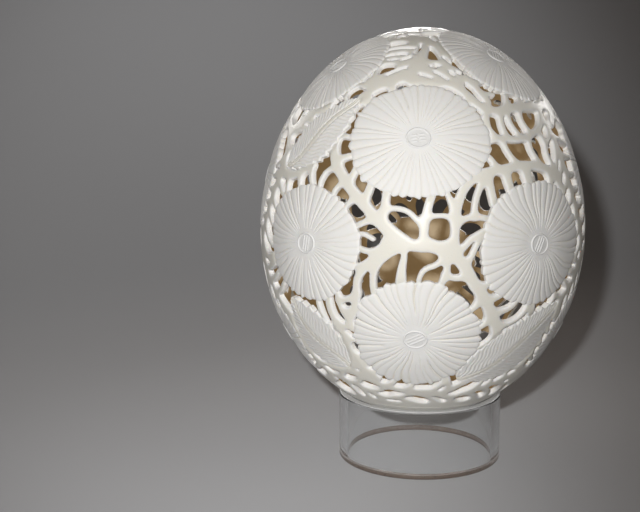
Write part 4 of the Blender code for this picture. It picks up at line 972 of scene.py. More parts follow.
@dataclass(frozen=True)
class Patch:
    """A grid laid over part of the egg: straight over the angles, or round a pole.

    Round a pole the grid is flat, and a point's distance from the middle is the tangent
    of half its angle from the pole, which keeps shapes.
    """

    name: str
    theta: tuple[float, float]
    phi: tuple[float, float] = (-180.0, 180.0)
    step: float = 1.0 / 3.0
    pole: int = 0

    def shape(self) -> tuple[int, int]:
        """Rows and columns of the grid."""
        if self.pole:
            side = 2 * int(math.ceil(self.reach() / self.step)) + 3
            return side, side
        return (int(round((self.theta[1] - self.theta[0]) / self.step)) + 1,
                int(round((self.phi[1] - self.phi[0]) / self.step)) + 1)

    def reach(self) -> float:
        """Farthest distance from the middle of a flat grid."""
        angle = self.theta[1] if self.pole > 0 else 180.0 - self.theta[0]
        return math.tan(math.radians(angle) / 2.0)

    def place(self, row: Array, col: Array) -> tuple[Array, Array]:
        """Angles of places given in rows and columns, which may be broken numbers."""
        if not self.pole:
            return self.theta[0] + row * self.step, self.phi[0] + col * self.step
        half = (self.shape()[0] - 1) / 2.0
        x = (col - half) * self.step
        y = (row - half) * self.step
        angle = np.degrees(2.0 * np.arctan(np.hypot(x, y)))
        return angle if self.pole > 0 else 180.0 - angle, np.degrees(np.arctan2(x, -y))

    def cell(self, theta: Array, phi: Array) -> tuple[Array, Array]:
        """Height and width of the cells in millimetres, from points a cell apart."""
        p = EGG.point(theta, phi)
        high = np.linalg.norm(np.diff(p, axis=0, append=p[-2:-1]), axis=-1)
        wide = np.linalg.norm(np.diff(p, axis=1, append=p[:, -2:-1]), axis=-1)
        return high, wide

    def limit(self, theta: Array) -> Array:
        """Distance outside the patch, which a flat grid is cut to."""
        if not self.pole:
            return np.full(theta.shape, -FAR)
        return 1.2 * np.maximum(self.theta[0] - theta, theta - self.theta[1])


def outline_triangles(values: Array) -> tuple[Array, Array, Array]:
    """Triangles of the places where a field on a grid is not above nothing.

    Points of the grid that lie close to the outline are moved onto it first.  Each cell
    is cut in two triangles, and a triangle that the outline crosses is cut along it at
    the places where the field, taken as straight along each side, is nothing.

    Args:
        values: the field, by row and column.

    Returns:
        Rows and columns of the points, and three point numbers for each triangle.
    """
    rows, cols = values.shape
    slope_r, slope_c = np.gradient(values)
    steep = slope_r ** 2 + slope_c ** 2
    shift_r = -values * slope_r / np.maximum(steep, 1e-9)
    shift_c = -values * slope_c / np.maximum(steep, 1e-9)
    close = (np.hypot(shift_r, shift_c) < 0.32) & (steep > 1e-6)
    row, col = np.meshgrid(np.arange(rows, dtype=float), np.arange(cols, dtype=float),
                           indexing="ij")
    inner = np.zeros(values.shape, bool)
    inner[1:-1, 1:-1] = True
    close &= inner
    at = np.stack([row + np.where(close, shift_r, 0.0), col + np.where(close, shift_c, 0.0)], -1)
    field_at = np.where(close, 0.0, values).ravel()
    original = values.ravel()
    ids = np.arange(rows * cols).reshape(rows, cols)
    a, b, c, d = (q.ravel() for q in (ids[:-1, :-1], ids[1:, :-1], ids[1:, 1:], ids[:-1, 1:]))
    odd = ((a // cols + a % cols) % 2 == 1)[:, None]
    first = np.where(odd, np.stack([a, b, c], -1), np.stack([a, b, d], -1))
    second = np.where(odd, np.stack([a, c, d], -1), np.stack([b, c, d], -1))
    tris = np.vstack([first, second])
    inside = field_at <= 0.0
    tris = tris[inside[tris].any(1)]
    state = inside[tris]
    count = state.sum(1)
    flat = (field_at[tris] == 0.0).all(1) & (original[tris].mean(1) > 0.0)
    whole = tris[(count == 3) & ~flat]
    turn = np.arange(3)
    one = tris[count == 1]
    one = np.take_along_axis(one, (np.argmax(state[count == 1], 1)[:, None] + turn) % 3, 1)
    two = tris[count == 2]
    two = np.take_along_axis(two, (np.argmin(state[count == 2], 1)[:, None] + 1 + turn) % 3, 1)
    sides = np.vstack([one[:, [0, 1]], one[:, [0, 2]], two[:, [1, 2]], two[:, [0, 2]]])
    low, high = sides.min(1), sides.max(1)
    keys, index = np.unique(low * (rows * cols) + high, return_inverse=True)
    low, high = keys // (rows * cols), keys % (rows * cols)
    share = field_at[low] / (field_at[low] - field_at[high])
    flat_at = at.reshape(-1, 2)
    crossing = flat_at[low] + (flat_at[high] - flat_at[low]) * share[:, None]
    node = rows * cols + index.ravel()
    kept = sides[:, 0]
    node = np.where(field_at[kept] == 0.0, kept, node)
    n1, n2 = len(one), len(two)
    ab, ac = node[:n1], node[n1:2 * n1]
    bc, ac2 = node[2 * n1:2 * n1 + n2], node[2 * n1 + n2:]
    tris = np.vstack([whole, np.stack([one[:, 0], ab, ac], -1),
                      np.stack([two[:, 0], two[:, 1], bc], -1),
                      np.stack([two[:, 0], bc, ac2], -1)])
    same = ((tris[:, 0] == tris[:, 1]) | (tris[:, 1] == tris[:, 2]) | (tris[:, 0] == tris[:, 2]))
    tris = tris[~same]
    used, tris = np.unique(tris, return_inverse=True)
    at = np.vstack([flat_at, crossing])[used]
    return at[:, 0], at[:, 1], tris.reshape(-1, 3)


def edge_distance(values: Array, row_mm: Array, col_mm: Array, reach: float) -> Array:
    """Distance inwards from the nearest opening, by cell, up to a reach.

    Every cell looks at all cells within reach.  An open one there gives the distance to
    it, less that cell's own gap, and the least of these counts.

    Args:
        values: gaps on a grid, above nothing in the openings.
        row_mm: height of a cell in millimetres.
        col_mm: width of a cell.
        reach: the farthest distance looked for.

    Returns:
        The distances, and less than nothing in the openings.
    """
    far = np.full(values.shape, reach)
    open_gap = np.where(values > 0.0, np.minimum(values, reach), -FAR)
    span_r = int(math.ceil(reach / float(row_mm.min())))
    span_c = int(math.ceil(reach / float(col_mm.min())))
    padded = np.pad(open_gap, ((span_r, span_r), (span_c, span_c)), mode="edge")
    rows, cols = values.shape
    for i in range(-span_r, span_r + 1):
        for j in range(-span_c, span_c + 1):
            away = np.hypot(i * row_mm, j * col_mm)
            if float(away.min()) > reach:
                continue
            seen = padded[span_r + i:span_r + i + rows, span_c + j:span_c + j + cols]
            far = np.minimum(far, np.where(seen > -FAR, away - seen, reach))
    return np.where(values > 0.0, -values, np.maximum(far, 0.0))


def between(table: Array, row: Array, col: Array) -> Array:
    """A grid's values at broken rows and columns, from the nearest four in proportion."""
    i = np.clip(row.astype(int), 0, table.shape[0] - 2)
    j = np.clip(col.astype(int), 0, table.shape[1] - 2)
    fy = row - i
    fx = col - j
    return ((table[i, j] * (1 - fx) + table[i, j + 1] * fx) * (1 - fy)
            + (table[i + 1, j] * (1 - fx) + table[i + 1, j + 1] * fx) * fy)


def open_edges(tris: Array) -> Array:
    """Directed edges that only one triangle has."""
    edges = np.vstack([tris[:, [0, 1]], tris[:, [1, 2]], tris[:, [2, 0]]]).astype(np.int64)
    size = edges.max() + 1
    there = edges[:, 0] * size + edges[:, 1]
    back = edges[:, 1] * size + edges[:, 0]
    return edges[~np.isin(there, back)]


@dataclass
class Openwork:
    """The stems, the fingers and the edge of the foot, cut out of the shell."""

    carving: Carving
    shell: float = 2.1
    under: float = 2.6
    edge_wide: float = 0.62
    edge_deep: float = 0.5
    crown: float = 0.22
    crown_wide: float = 1.7
    sink: float = 0.5
    sink_from: tuple[float, float] = (-1.2, 2.0)
    tuck: float = 0.25
    tuck_from: tuple[float, float] = (-2.5, -0.4)
    cut_from: tuple[float, float] = (0.35, 1.0)
    skin: float = 0.06
    patches: tuple[Patch, ...] = (
        Patch("left", (38.0, 138.0), (-88.0, -41.0)),
        Patch("front", (38.0, 138.0), (-41.0, 42.0)),
        Patch("right", (38.0, 138.0), (42.0, 91.0)),
        Patch("right_back", (38.0, 138.0), (91.0, 180.0)),
        Patch("left_back", (38.0, 138.0), (-180.0, -88.0)),
        Patch("top", (0.0, 38.0), step=0.0036, pole=1),
        Patch("bottom", (138.0, 151.0), step=0.0036, pole=-1),
    )

    def shape(self, patch: Patch) -> Shape:
        """Outer face, walls and inner face of one patch.

        The outer face lies under the egg by a quarter ellipse along each edge, a low
        crown over the whole width, and a dip towards the motifs.  The inner face follows
        it at the shell's thickness, and walls join the two along every open edge.

        Args:
            patch: the part of the egg.

        Returns:
            A closed shape.
        """
        rows, cols = patch.shape()
        row, col = np.meshgrid(np.arange(rows), np.arange(cols), indexing="ij")
        theta, phi = patch.place(row.astype(float), col.astype(float))
        web = self.carving.sample(self.carving.web, theta, phi)
        motif = self.carving.sample(self.carving.plates, theta, phi)
        wanted = np.maximum(np.maximum(web, -(motif + self.under)), patch.limit(theta))
        row_mm, col_mm = patch.cell(theta, phi)
        inwards = edge_distance(web, row_mm, col_mm, self.crown_wide)
        row, col, tris = outline_triangles(wanted)
        theta, phi = patch.place(row, col)
        deep = np.maximum(between(inwards, row, col), 0.0)
        motif = self.carving.sample(self.carving.plates, theta, phi)
        short = 1.0 - np.clip(deep / self.edge_wide, 0.0, 1.0)
        drop = self.skin + self.edge_deep * (1.0 - np.sqrt(np.maximum(1.0 - short ** 2, 0.0)))
        drop += self.crown * (1.0 - np.clip(deep / self.crown_wide, 0.0, 1.0)) ** 2
        drop += self.sink * (1.0 - ease(*self.sink_from, motif))
        drop += self.tuck * (1.0 - ease(*self.tuck_from, motif))
        on_egg = EGG.point(theta, phi)
        out = EGG.normal(on_egg)
        top = on_egg - out * drop[:, None]
        inner = on_egg - out * self.shell
        a, b, c = top[tris[:200]].swapaxes(0, 1)
        if (np.cross(b - a, c - a) * out[tris[:200, 0]]).sum() < 0.0:
            tris = tris[:, ::-1]
        edges = open_edges(tris)
        cut = 1.0 - ease(*self.cut_from, deep)
        walls = np.stack([edges[:, 1], edges[:, 0], edges[:, 0] + len(top),
                          edges[:, 1] + len(top)], -1)
        ones = np.ones(len(top))
        none = np.zeros(len(top))
        return Shape(np.vstack([top, inner]), np.r_[cut, ones], np.r_[none, none],
                     [(tris, 0), (walls, 0), (tris[:, ::-1] + len(top), 1)])

    def build(self, finishes: Sequence[bpy.types.Material]) -> list[bpy.types.Object]:
        """Every patch of the openwork as a piece."""
        return [make_piece(f"openwork_{p.name}", [self.shape(p)], finishes)
                for p in self.patches]


# ---------------------------------------------------------------- the flowers


@dataclass
class FlowerCutter:
    """Cuts a flower: ribs from a raised button out to a toothed rim."""

    shell: float = 2.2
    hub: float = 4.9
    hub_rows: tuple[float, ...] = (1.6, 3.0, 3.9, 4.5)
    rows: int = 27
    across: tuple[float, ...] = (0.0, 0.06, 0.14, 0.3, 0.5, 0.7, 0.86, 0.94)
    groove_wide: float = 0.12
    groove_deep: float = 0.16
    uneven: tuple[float, float] = (0.55, 1.45)
    jitter: float = 0.3
    late_share: float = 0.25
    late_start: tuple[float, float] = (0.15, 0.4)
    notch: tuple[float, float] = (0.25, 0.95)
    tooth: float = 0.42
    tooth_limits: tuple[float, float] = (-0.8, 0.55)
    tooth_peak: tuple[float, float] = (0.2, 0.8)
    petal_jitter: float = 0.8
    petal_deep: float = 0.25
    petal_notch: float = 1.2
    petal_tooth: float = 0.5
    ridge: float = 0.05
    skin: float = 0.05
    dish: float = 0.3
    spread: float = 0.45
    button_rows: int = 24
    button_around: int = 96
    button_size: tuple[float, float] = (4.75, 4.1)
    button_base: float = 1.0
    button_gap: float = 0.02
    bars: tuple[float, ...] = (-1.15, 0.0, 1.15)
    bar_wide: float = 0.34
    bar_high: float = 0.24
    ring_high: float = 0.36

    def ribs(self, flower: Flower, seed: int) -> tuple[Array, ...]:
        """The ribs' places, depths and ends, drawn by a seeded generator.

        Args:
            flower: the flower.
            seed: number of the flower, which seeds the generator.

        Returns:
            Angles of the grooves, their depths, how far out they start, the rim's notch
            at each groove, its tooth on each rib and where across the rib the tooth peaks.
        """
        rng = np.random.default_rng(400 + seed)
        n = flower.ribs
        at = (np.arange(n) + rng.uniform(-self.jitter, self.jitter, n)) * 2.0 * math.pi / n
        deep = flower.cut * self.groove_deep * rng.uniform(*self.uneven, n)
        late = rng.random(n) < self.late_share
        start = np.where(late, rng.uniform(*self.late_start, n), 0.0)
        if flower.petals:
            moved = rng.uniform(-self.petal_jitter, self.petal_jitter, flower.petals)
            chosen = (np.arange(flower.petals) * n / flower.petals + moved).astype(int) % n
            deep[chosen] += self.petal_deep
        notch = rng.uniform(*self.notch, n)
        tooth = np.clip(rng.normal(0.0, self.tooth, n), *self.tooth_limits)
        if flower.petals:
            notch[chosen] += self.petal_notch
            tooth[chosen] -= self.petal_tooth
            tooth[chosen - 1] -= self.petal_tooth
        return at, deep, start, notch, tooth, rng.uniform(*self.tooth_peak, n)

    def across_rib(self, values: Array) -> Array:
        """A value at each groove, carried over to the next groove in proportion."""
        v = np.array(self.across)
        return (values[:, None] * (1.0 - v) + np.roll(values, -1)[:, None] * v).ravel()

    def face(self, flower: Flower, seed: int) -> tuple[Array, Array]:
        """The ribbed face on a grid of rows (outwards) and ribs (round).

        Each rib is a low arch between two narrow grooves with bell-shaped sides.  The
        whole fan sways sideways by a sine of the radius, and the rim has a lopsided
        tooth on each rib.

        Args:
            flower: the flower.
            seed: number of the flower.

        Returns:
            Points and groove tones, which paint shade into the grooves, by row and column.
        """
        at, deep, start, notch, tooth, peak = self.ribs(flower, seed)
        n = flower.ribs
        v = np.array(self.across)
        ahead = np.roll(at, -1)
        ahead[-1] += 2.0 * math.pi
        psi = (at[:, None] + (ahead - at)[:, None] * v).ravel()
        arch = np.tile(1.0 - np.abs(2.0 * v - 1.0) ** 2.0, n)
        saw = np.minimum(v / peak[:, None], (1.0 - v) / (1.0 - peak[:, None])).ravel() ** 0.7
        rim = flower.rim(psi) + self.spread
        rim += np.repeat(tooth, len(v)) * saw - self.across_rib(notch) * (1.0 - saw)
        q = np.linspace(0.0, 1.0, self.rows) ** 0.9
        q = np.r_[q[:-1], 0.982, 0.993, 1.0]
        q.sort()
        radius = np.vstack([np.repeat(r, n * len(v)) for r in self.hub_rows]
                           + [self.hub + (rim - self.hub) * s for s in q])
        share = np.clip((radius - self.hub) / (rim - self.hub), 0.0, 1.0)
        sway = flower.sway * np.sin(5.2 * share + 2.0 * np.sin(psi + seed)) * share
        sway *= 0.6 + 0.4 * np.sin(2.0 * psi + 1.7 * seed)
        turned = psi + sway * (1.0 - 0.55 * share)
        side = np.minimum(v, 1.0 - v)
        bell = np.exp(-(np.tile(side, n) / self.groove_wide) ** 2)
        line = ease(0.0, 0.12, share - self.across_rib(start) + 0.01)
        line = line * ease(self.hub - 0.3, self.hub + 0.8, radius)
        after = np.repeat(np.roll(deep, -1), len(v))
        depth = np.where(np.tile(v, n) <= 0.5, np.repeat(deep, len(v)), after)
        size = np.minimum(1.0, 0.35 + radius / 16.0)
        groove = bell * line * size
        drop = self.skin + depth * groove
        drop += self.ridge * (1.0 - arch) * line * radius / flower.radius
        drop += self.dish * np.exp(-((radius - self.hub) / 3.4).clip(0.0) ** 2)
        drop += 0.12 * share ** 5 + 0.26 * ease(0.965, 1.0, share)
        plane = flower.plane()
        flat = radius.copy()
        for _ in range(2):
            p = EGG.lay(plane, flat * np.cos(turned), flat * np.sin(turned))
            flat *= radius / np.linalg.norm(p - plane.origin, axis=-1)
        face = p - EGG.normal(p) * drop[..., None]
        # the groove tone is painted shade, darker where the groove is deeper
        return face, np.clip(groove * depth / 0.22, 0.0, 1.0)

    def shape(self, flower: Flower, seed: int) -> Shape:
        """Face, wall and underside of a flower, closed together."""
        face, groove = self.face(flower, seed)
        rows, cols = face.shape[:2]
        plane = flower.plane()
        flat_face = face.reshape(-1, 3)
        pole = plane.origin - plane.normal * (self.skin + self.dish)
        rim_in = [rows - 1, int(rows * 0.8), int(rows * 0.5), 4]
        on_egg = EGG.snap(face[rim_in])
        under = on_egg - EGG.normal(on_egg) * self.shell
        centre = plane.origin - plane.normal * self.shell
        count = rows * cols
        points = np.vstack([flat_face, pole[None], under.reshape(-1, 3), centre[None]])
        top = grid_faces(rows, cols, True)
        cap = fan_faces(count, 0, cols)
        first = count + 1
        wall = band_faces((rows - 1) * cols, first, cols)
        below = grid_faces(len(rim_in), cols, True) + first
        end = first + (len(rim_in) - 1) * cols
        hole = fan_faces(first + len(rim_in) * cols, end, cols)[:, ::-1]
        tone = np.r_[groove.ravel(), np.zeros(len(points) - count)]
        return Shape(points, np.ones(len(points)), tone,
                     [(top, 0), (cap, 0), (wall, 0), (below, 1), (hole, 1)])

    def button(self, flower: Flower, seed: int) -> Shape:
        """The raised oval in the middle: a rounded ring with bars or dashes inside.

        The height is a bell across the ring's line, and inside it a bell across each
        bar, which ends in the ring.
        """
        around, rows = self.button_around, self.button_rows
        rng = np.random.default_rng(700 + seed)
        psi = np.linspace(0.0, 2.0 * math.pi, around, endpoint=False)
        share = np.linspace(0.0, 1.0, rows)[1:]
        turn = rng.uniform(-0.3, 0.3)
        wide, high = self.button_size
        size = 1.0 / np.hypot(np.cos(psi - turn) / wide, np.sin(psi - turn) / high)
        radius = share[:, None] * size
        x = radius * np.cos(psi)
        y = radius * np.sin(psi)
        lean = math.radians(flower.lean)
        u = x * math.cos(lean) + y * math.sin(lean)
        w = -x * math.sin(lean) + y * math.cos(lean)
        inside = 1.0 - ease(0.62, 0.76, share)[:, None]
        bars = sum(np.exp(-((w - at) / self.bar_wide) ** 4) for at in self.bars)
        if flower.seed is Seed.DASHES:
            bars = bars * (1.0 - np.exp(-(u / 0.42) ** 4)) * np.exp(-(u / 2.4) ** 6)
        ring = np.exp(-((share[:, None] - 0.84) / 0.07) ** 2)
        lift = self.ring_high * ring + self.bar_high * np.clip(bars, 0.0, 1.0) * inside
        floor = self.skin + self.dish + self.button_gap
        drop = floor - lift + 0.7 * ease(0.93, 1.0, share)[:, None]
        plane = flower.plane()
        p = EGG.lay(plane, x, y)
        face = p - EGG.normal(p) * drop[..., None]
        # painted shade: the recessed floor inside the ring, between the bars, gets a little groove
        # tone
        tone = 0.15 * inside * (1.0 - np.clip(bars, 0.0, 1.0)) + 0.0 * x
        deep = self.dish + self.button_base
        base = p[-1] - EGG.normal(p[-1]) * deep
        pole = plane.origin - plane.normal * (floor - 0.2 * bars[0].mean())
        centre = plane.origin - plane.normal * deep
        count = (rows - 1) * around
        points = np.vstack([face.reshape(-1, 3), pole[None], base, centre[None]])
        first = count + 1
        wall = band_faces((rows - 2) * around, first, around)
        tones = np.r_[tone.ravel(), np.zeros(len(points) - count)]
        return Shape(points, np.ones(len(points)), tones, [
            (grid_faces(rows - 1, around, True), 0), (fan_faces(count, 0, around), 0),
            (wall, 0), (fan_faces(first + around, first, around)[:, ::-1], 0)])

    def build(self, finishes: Sequence[bpy.types.Material]) -> list[bpy.types.Object]:
        """Every flower as a piece."""
        return [make_piece(f"flower_{k + 1:02d}", [self.shape(f, k), self.button(f, k)], finishes)
                for k, f in enumerate(FLOWERS)]


# ---------------------------------------------------------------- the leaves


@dataclass
class LeafCutter:
    """Cuts a leaf: a double midrib, fine side veins and a saw edge."""

    shell: float = 2.2
    rows: int = 180
    cols: int = 53
    vein_step: float = 1.9
    vein_deep: float = 0.2
    tooth_step: float = 3.1
    tooth: float = 1.1
    wander: float = 1.3
    blunt: float = 0.004
    saw_peak: float = 0.8
    rib_side: float = 0.9
    rib_groove: float = 0.3
    rib_deep: float = 0.3

    def shape(self, leaf: Leaf, seed: int) -> Shape:
        """Face, edge and underside of a leaf.

        Across the leaf, w runs from -1 to 1 between its edges.  The midrib is a raised
        band with a groove at each side.  The veins are sines of the length less a power
        of w, which sweeps them towards the tip, and the edge is a saw of the length.

        Args:
            leaf: the leaf.
            seed: number of the leaf, which shifts its veins.

        Returns:
            A closed shape.
        """
        s = 0.5 - 0.5 * np.cos(np.linspace(0.0, math.pi, self.rows))
        s = 0.6 * s + 0.4 * np.linspace(0.0, 1.0, self.rows)
        s = self.blunt + (1.0 - 2.0 * self.blunt) * s
        w = np.sin(np.linspace(-0.5, 0.5, self.cols) * math.pi) * 0.5
        w += np.linspace(-0.5, 0.5, self.cols)
        s, w = np.meshgrid(s, w, indexing="ij")
        half = leaf.half(s)
        run = s * leaf.length
        saw = (run / self.tooth_step + 0.35 * np.sign(w) + 0.2 * seed) % 1.0
        saw = np.where(saw < self.saw_peak, saw / self.saw_peak, (1.0 - saw) / 0.2)
        half = half + self.tooth * (saw - 0.6) * ease(0.6, 3.0, half)
        across = leaf.spine(s) + w * half
        rib = self.wander * np.sin(2.0 * math.pi * s + 0.6) * ease(0.5, 4.0, half)
        from_rib = np.abs(w * half - rib)
        vein = run - 1.5 * from_rib ** 0.85 + 0.4 * np.sin(0.35 * run + from_rib)
        wave = 0.5 + 0.5 * np.cos(2.0 * math.pi * vein / self.vein_step + seed)
        body = ease(0.75, 1.5, from_rib) * ease(0.0, 1.2, half - from_rib)
        drop = 0.12 + self.vein_deep * wave ** 2 * body
        beside = np.exp(-((from_rib - self.rib_side) / self.rib_groove) ** 2)
        drop += self.rib_deep * beside
        drop += 0.16 * np.exp(-(from_rib / 0.22) ** 2) - 0.05
        drop += 0.18 * ease(1.0, 5.0, from_rib) + 0.4 * ease(0.93, 1.0, np.abs(w))
        plane = leaf.plane()
        p = EGG.lay(plane, across, run - 0.5 * leaf.length)
        out = EGG.normal(p)
        face = p - out * drop[..., None]
        # painted shade: the groove tone darkens the vein dips and the grooves beside the midrib
        groove = 0.6 * wave ** 2 * body + 0.8 * beside
        cut = ease(0.5, 1.0, from_rib)
        columns = [0, self.cols // 4, self.cols // 2, 3 * self.cols // 4, self.cols - 1]
        under = (p - out * self.shell)[:, columns]
        count = self.rows * self.cols
        low = len(columns)
        points = np.vstack([face.reshape(-1, 3), under.reshape(-1, 3)])
        top = grid_faces(self.rows, self.cols, False)[:, ::-1]
        below = grid_faces(self.rows, low, False) + count
        k = np.arange(self.rows - 1)
        left = np.stack([k * self.cols, (k + 1) * self.cols, count + (k + 1) * low,
                         count + k * low], -1)
        right = np.stack([k * self.cols + self.cols - 1, count + k * low + low - 1,
                          count + (k + 1) * low + low - 1,
                          (k + 1) * self.cols + self.cols - 1], -1)
        ends = self.end_faces(count, low)
        rest = np.zeros(len(points) - count)
        return Shape(points, np.r_[cut.ravel(), rest + 1.0], np.r_[groove.ravel(), rest],
                     [(top, 0), (left, 0), (right, 0), (below, 1), (ends, 0)])

    def end_faces(self, count: int, low: int) -> Array:
        """Triangles that close the two ends: each end's loop, fanned from its first point.

        Args:
            count: points of the face, after which the underside's points come.
            low: points in a row of the underside.

        Returns:
            Three point numbers for each triangle.
        """
        faces = []
        for row, turn in ((0, -1), (self.rows - 1, 1)):
            below = count + row * low
            loop = np.r_[row * self.cols + np.arange(self.cols),
                         below + np.arange(low - 1, 0, -1)]
            fan = np.stack([loop[:-1], loop[1:], np.full(len(loop) - 1, below)], -1)
            faces.append(fan[:, ::turn])
        return np.vstack(faces)

    def build(self, finishes: Sequence[bpy.types.Material]) -> list[bpy.types.Object]:
        """Every leaf as a piece."""
        return [make_piece(f"leaf_{k + 1:02d}", [self.shape(leaf, k)], finishes)
                for k, leaf in enumerate(LEAVES)]


# ---------------------------------------------------------------- foot and ring


@dataclass
class FootCap:
    """The plain foot: the egg's surface from the openwork's edge to the drain hole."""

    top: float = 151.0
    around: int = 192
    rows: int = 24
    shell: float = 2.1

    def build(self, finishes: Sequence[bpy.types.Material]) -> bpy.types.Object:
        """The foot as a closed piece: outer face, hole, inner face and upper edge."""
        hole = 180.0 - math.degrees(math.asin(FOOT.drain / (EGG.half_width * (1.0 - EGG.taper))))
        theta = np.linspace(self.top, hole, self.rows)
        phi = np.linspace(-180.0, 180.0, self.around, endpoint=False)
        p = EGG.point(*np.meshgrid(theta, phi, indexing="ij"))
        out = EGG.normal(p)
        rounded = 0.35 * ease(hole - 1.2, hole, theta)[:, None, None]
        face = p - out * rounded
        inner = (p - out * self.shell)[::-1]
        points = np.concatenate([face, inner]).reshape(-1, 3)
        rows = 2 * self.rows
        faces = grid_faces(rows, self.around, True)
        close = band_faces((rows - 1) * self.around, 0, self.around)
        split = self.rows * self.around
        none = np.zeros(len(points))
        shape = Shape(points, none, none, [(faces[:split], 0), (close, 0), (faces[split:], 1)])
        return make_piece("foot", [shape], finishes)


@dataclass
class RingStand:
    """The clear tube that the egg rests on."""

    radius: float = 32.0
    wall: float = 3.3
    round: float = 0.8
    lead: float = 0.15
    edge: float = 1.8
    around: int = 128
    steps: int = 5

    def profile(self, height: float) -> Array:
        """The wall's section: a rectangle whose corners are quarter circles.

        Each corner has a point more just before and just after it, which keeps the
        smooth shading of the corner off the flats.  A point more on both sides ends the
        dark lower band, a painted reflection of the egg's shaded underside.

        Args:
            height: the wall's height.

        Returns:
            Points (radius, height) round the section, outwards of the wall first.
        """
        inner = self.radius - self.wall
        spots = []
        for x, z, first in ((self.radius, height, 0.0), (inner, height, 90.0),
                            (inner, 0.0, 180.0), (self.radius, 0.0, 270.0)):
            a = np.radians(np.linspace(first, first + 90.0, self.steps))
            cx = x - self.round * np.sign(x - inner - 0.5 * self.wall)
            cz = z - self.round * np.sign(z - 0.5 * height)
            arc = np.stack([cx + self.round * np.cos(a), cz + self.round * np.sin(a)], -1)
            run = self.lead * np.stack([-np.sin(a), np.cos(a)], -1)
            spots += [arc[:1] - run[:1], arc, arc[-1:] + run[-1:]]
        spots.insert(9, np.array([[inner, self.edge]]))
        spots.append(np.array([[self.radius, self.edge]]))
        return np.vstack(spots)

    def build(self, finishes: Sequence[bpy.types.Material]) -> bpy.types.Object:
        """The tube: its section turned about the upright axis.

        Args:
            finishes: materials of the clear wall, the sawn top and the lower edge's dark band, a
                painted reflection.

        Returns:
            The piece, which lets the lamps' light and the floor's own through.
        """
        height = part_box(Node.RING.value)[1].z / MM
        section = self.profile(height)
        phi = np.linspace(0.0, 2.0 * math.pi, self.around, endpoint=False)[:, None]
        x = section[:, 0] * np.cos(phi)
        y = section[:, 0] * np.sin(phi)
        z = section[:, 1] + 0.0 * phi
        points = np.stack([x, y, z], -1).reshape(-1, 3)
        n = len(section)
        i, j = np.meshgrid(np.arange(self.around), np.arange(n), indexing="ij")
        i2, j2 = (i + 1) % self.around, (j + 1) % n
        faces = np.stack([i * n + j, i2 * n + j, i2 * n + j2, i * n + j2], -1).reshape(-1, 4)
        zero = np.zeros(len(points))
        middle = 0.5 * (section[:, 1] + np.roll(section[:, 1], -1))[j].ravel()
        top = middle > height - 0.4 * self.round
        # the lowest band of faces gets the dark finish that paints a reflection of the egg's
        # shaded underside
        foot = middle < self.edge
        shape = Shape(points, zero, zero, [(faces[~(top | foot)], 0), (faces[top], 1),
                                           (faces[foot], 2)])
        ring = make_piece("ring_clear", [shape], finishes, 40.0)
        ring.visible_shadow = False
        ring.visible_diffuse = False
        return ring


# ---------------------------------------------------------------- shader maths

Value = Union["Wire", float]


class Wire:
    """A shader socket that Python's operators work on, each adding one Math node."""

    def __init__(self, graph: "Graph", socket: bpy.types.NodeSocket) -> None:
        """Wraps a socket of a graph."""
        self.graph = graph
        self.socket = socket

    def math(self, kind: str, *others: Value) -> "Wire":
        """A Math node of this kind on the wire and the others."""
        return self.graph.math(kind, self, *others)

    def __add__(self, other: Value) -> "Wire":
        """Sum."""
        return self.math("ADD", other)

    def __radd__(self, other: Value) -> "Wire":
        """Sum, the wire second."""
        return self.math("ADD", other)

    def __sub__(self, other: Value) -> "Wire":
        """Difference."""
        return self.math("SUBTRACT", other)

    def __rsub__(self, other: Value) -> "Wire":
        """Difference, the wire second."""
        return self.graph.math("SUBTRACT", other, self)

    def __mul__(self, other: Value) -> "Wire":
        """Product."""
        return self.math("MULTIPLY", other)

    def __rmul__(self, other: Value) -> "Wire":
        """Product, the wire second."""
        return self.math("MULTIPLY", other)

    def __pow__(self, other: Value) -> "Wire":
        """Power."""
        return self.math("POWER", other)

    def clamped(self) -> "Wire":
        """The value kept from 0 to 1."""
        return self.graph.node("ShaderNodeClamp", {}, {"Value": self})


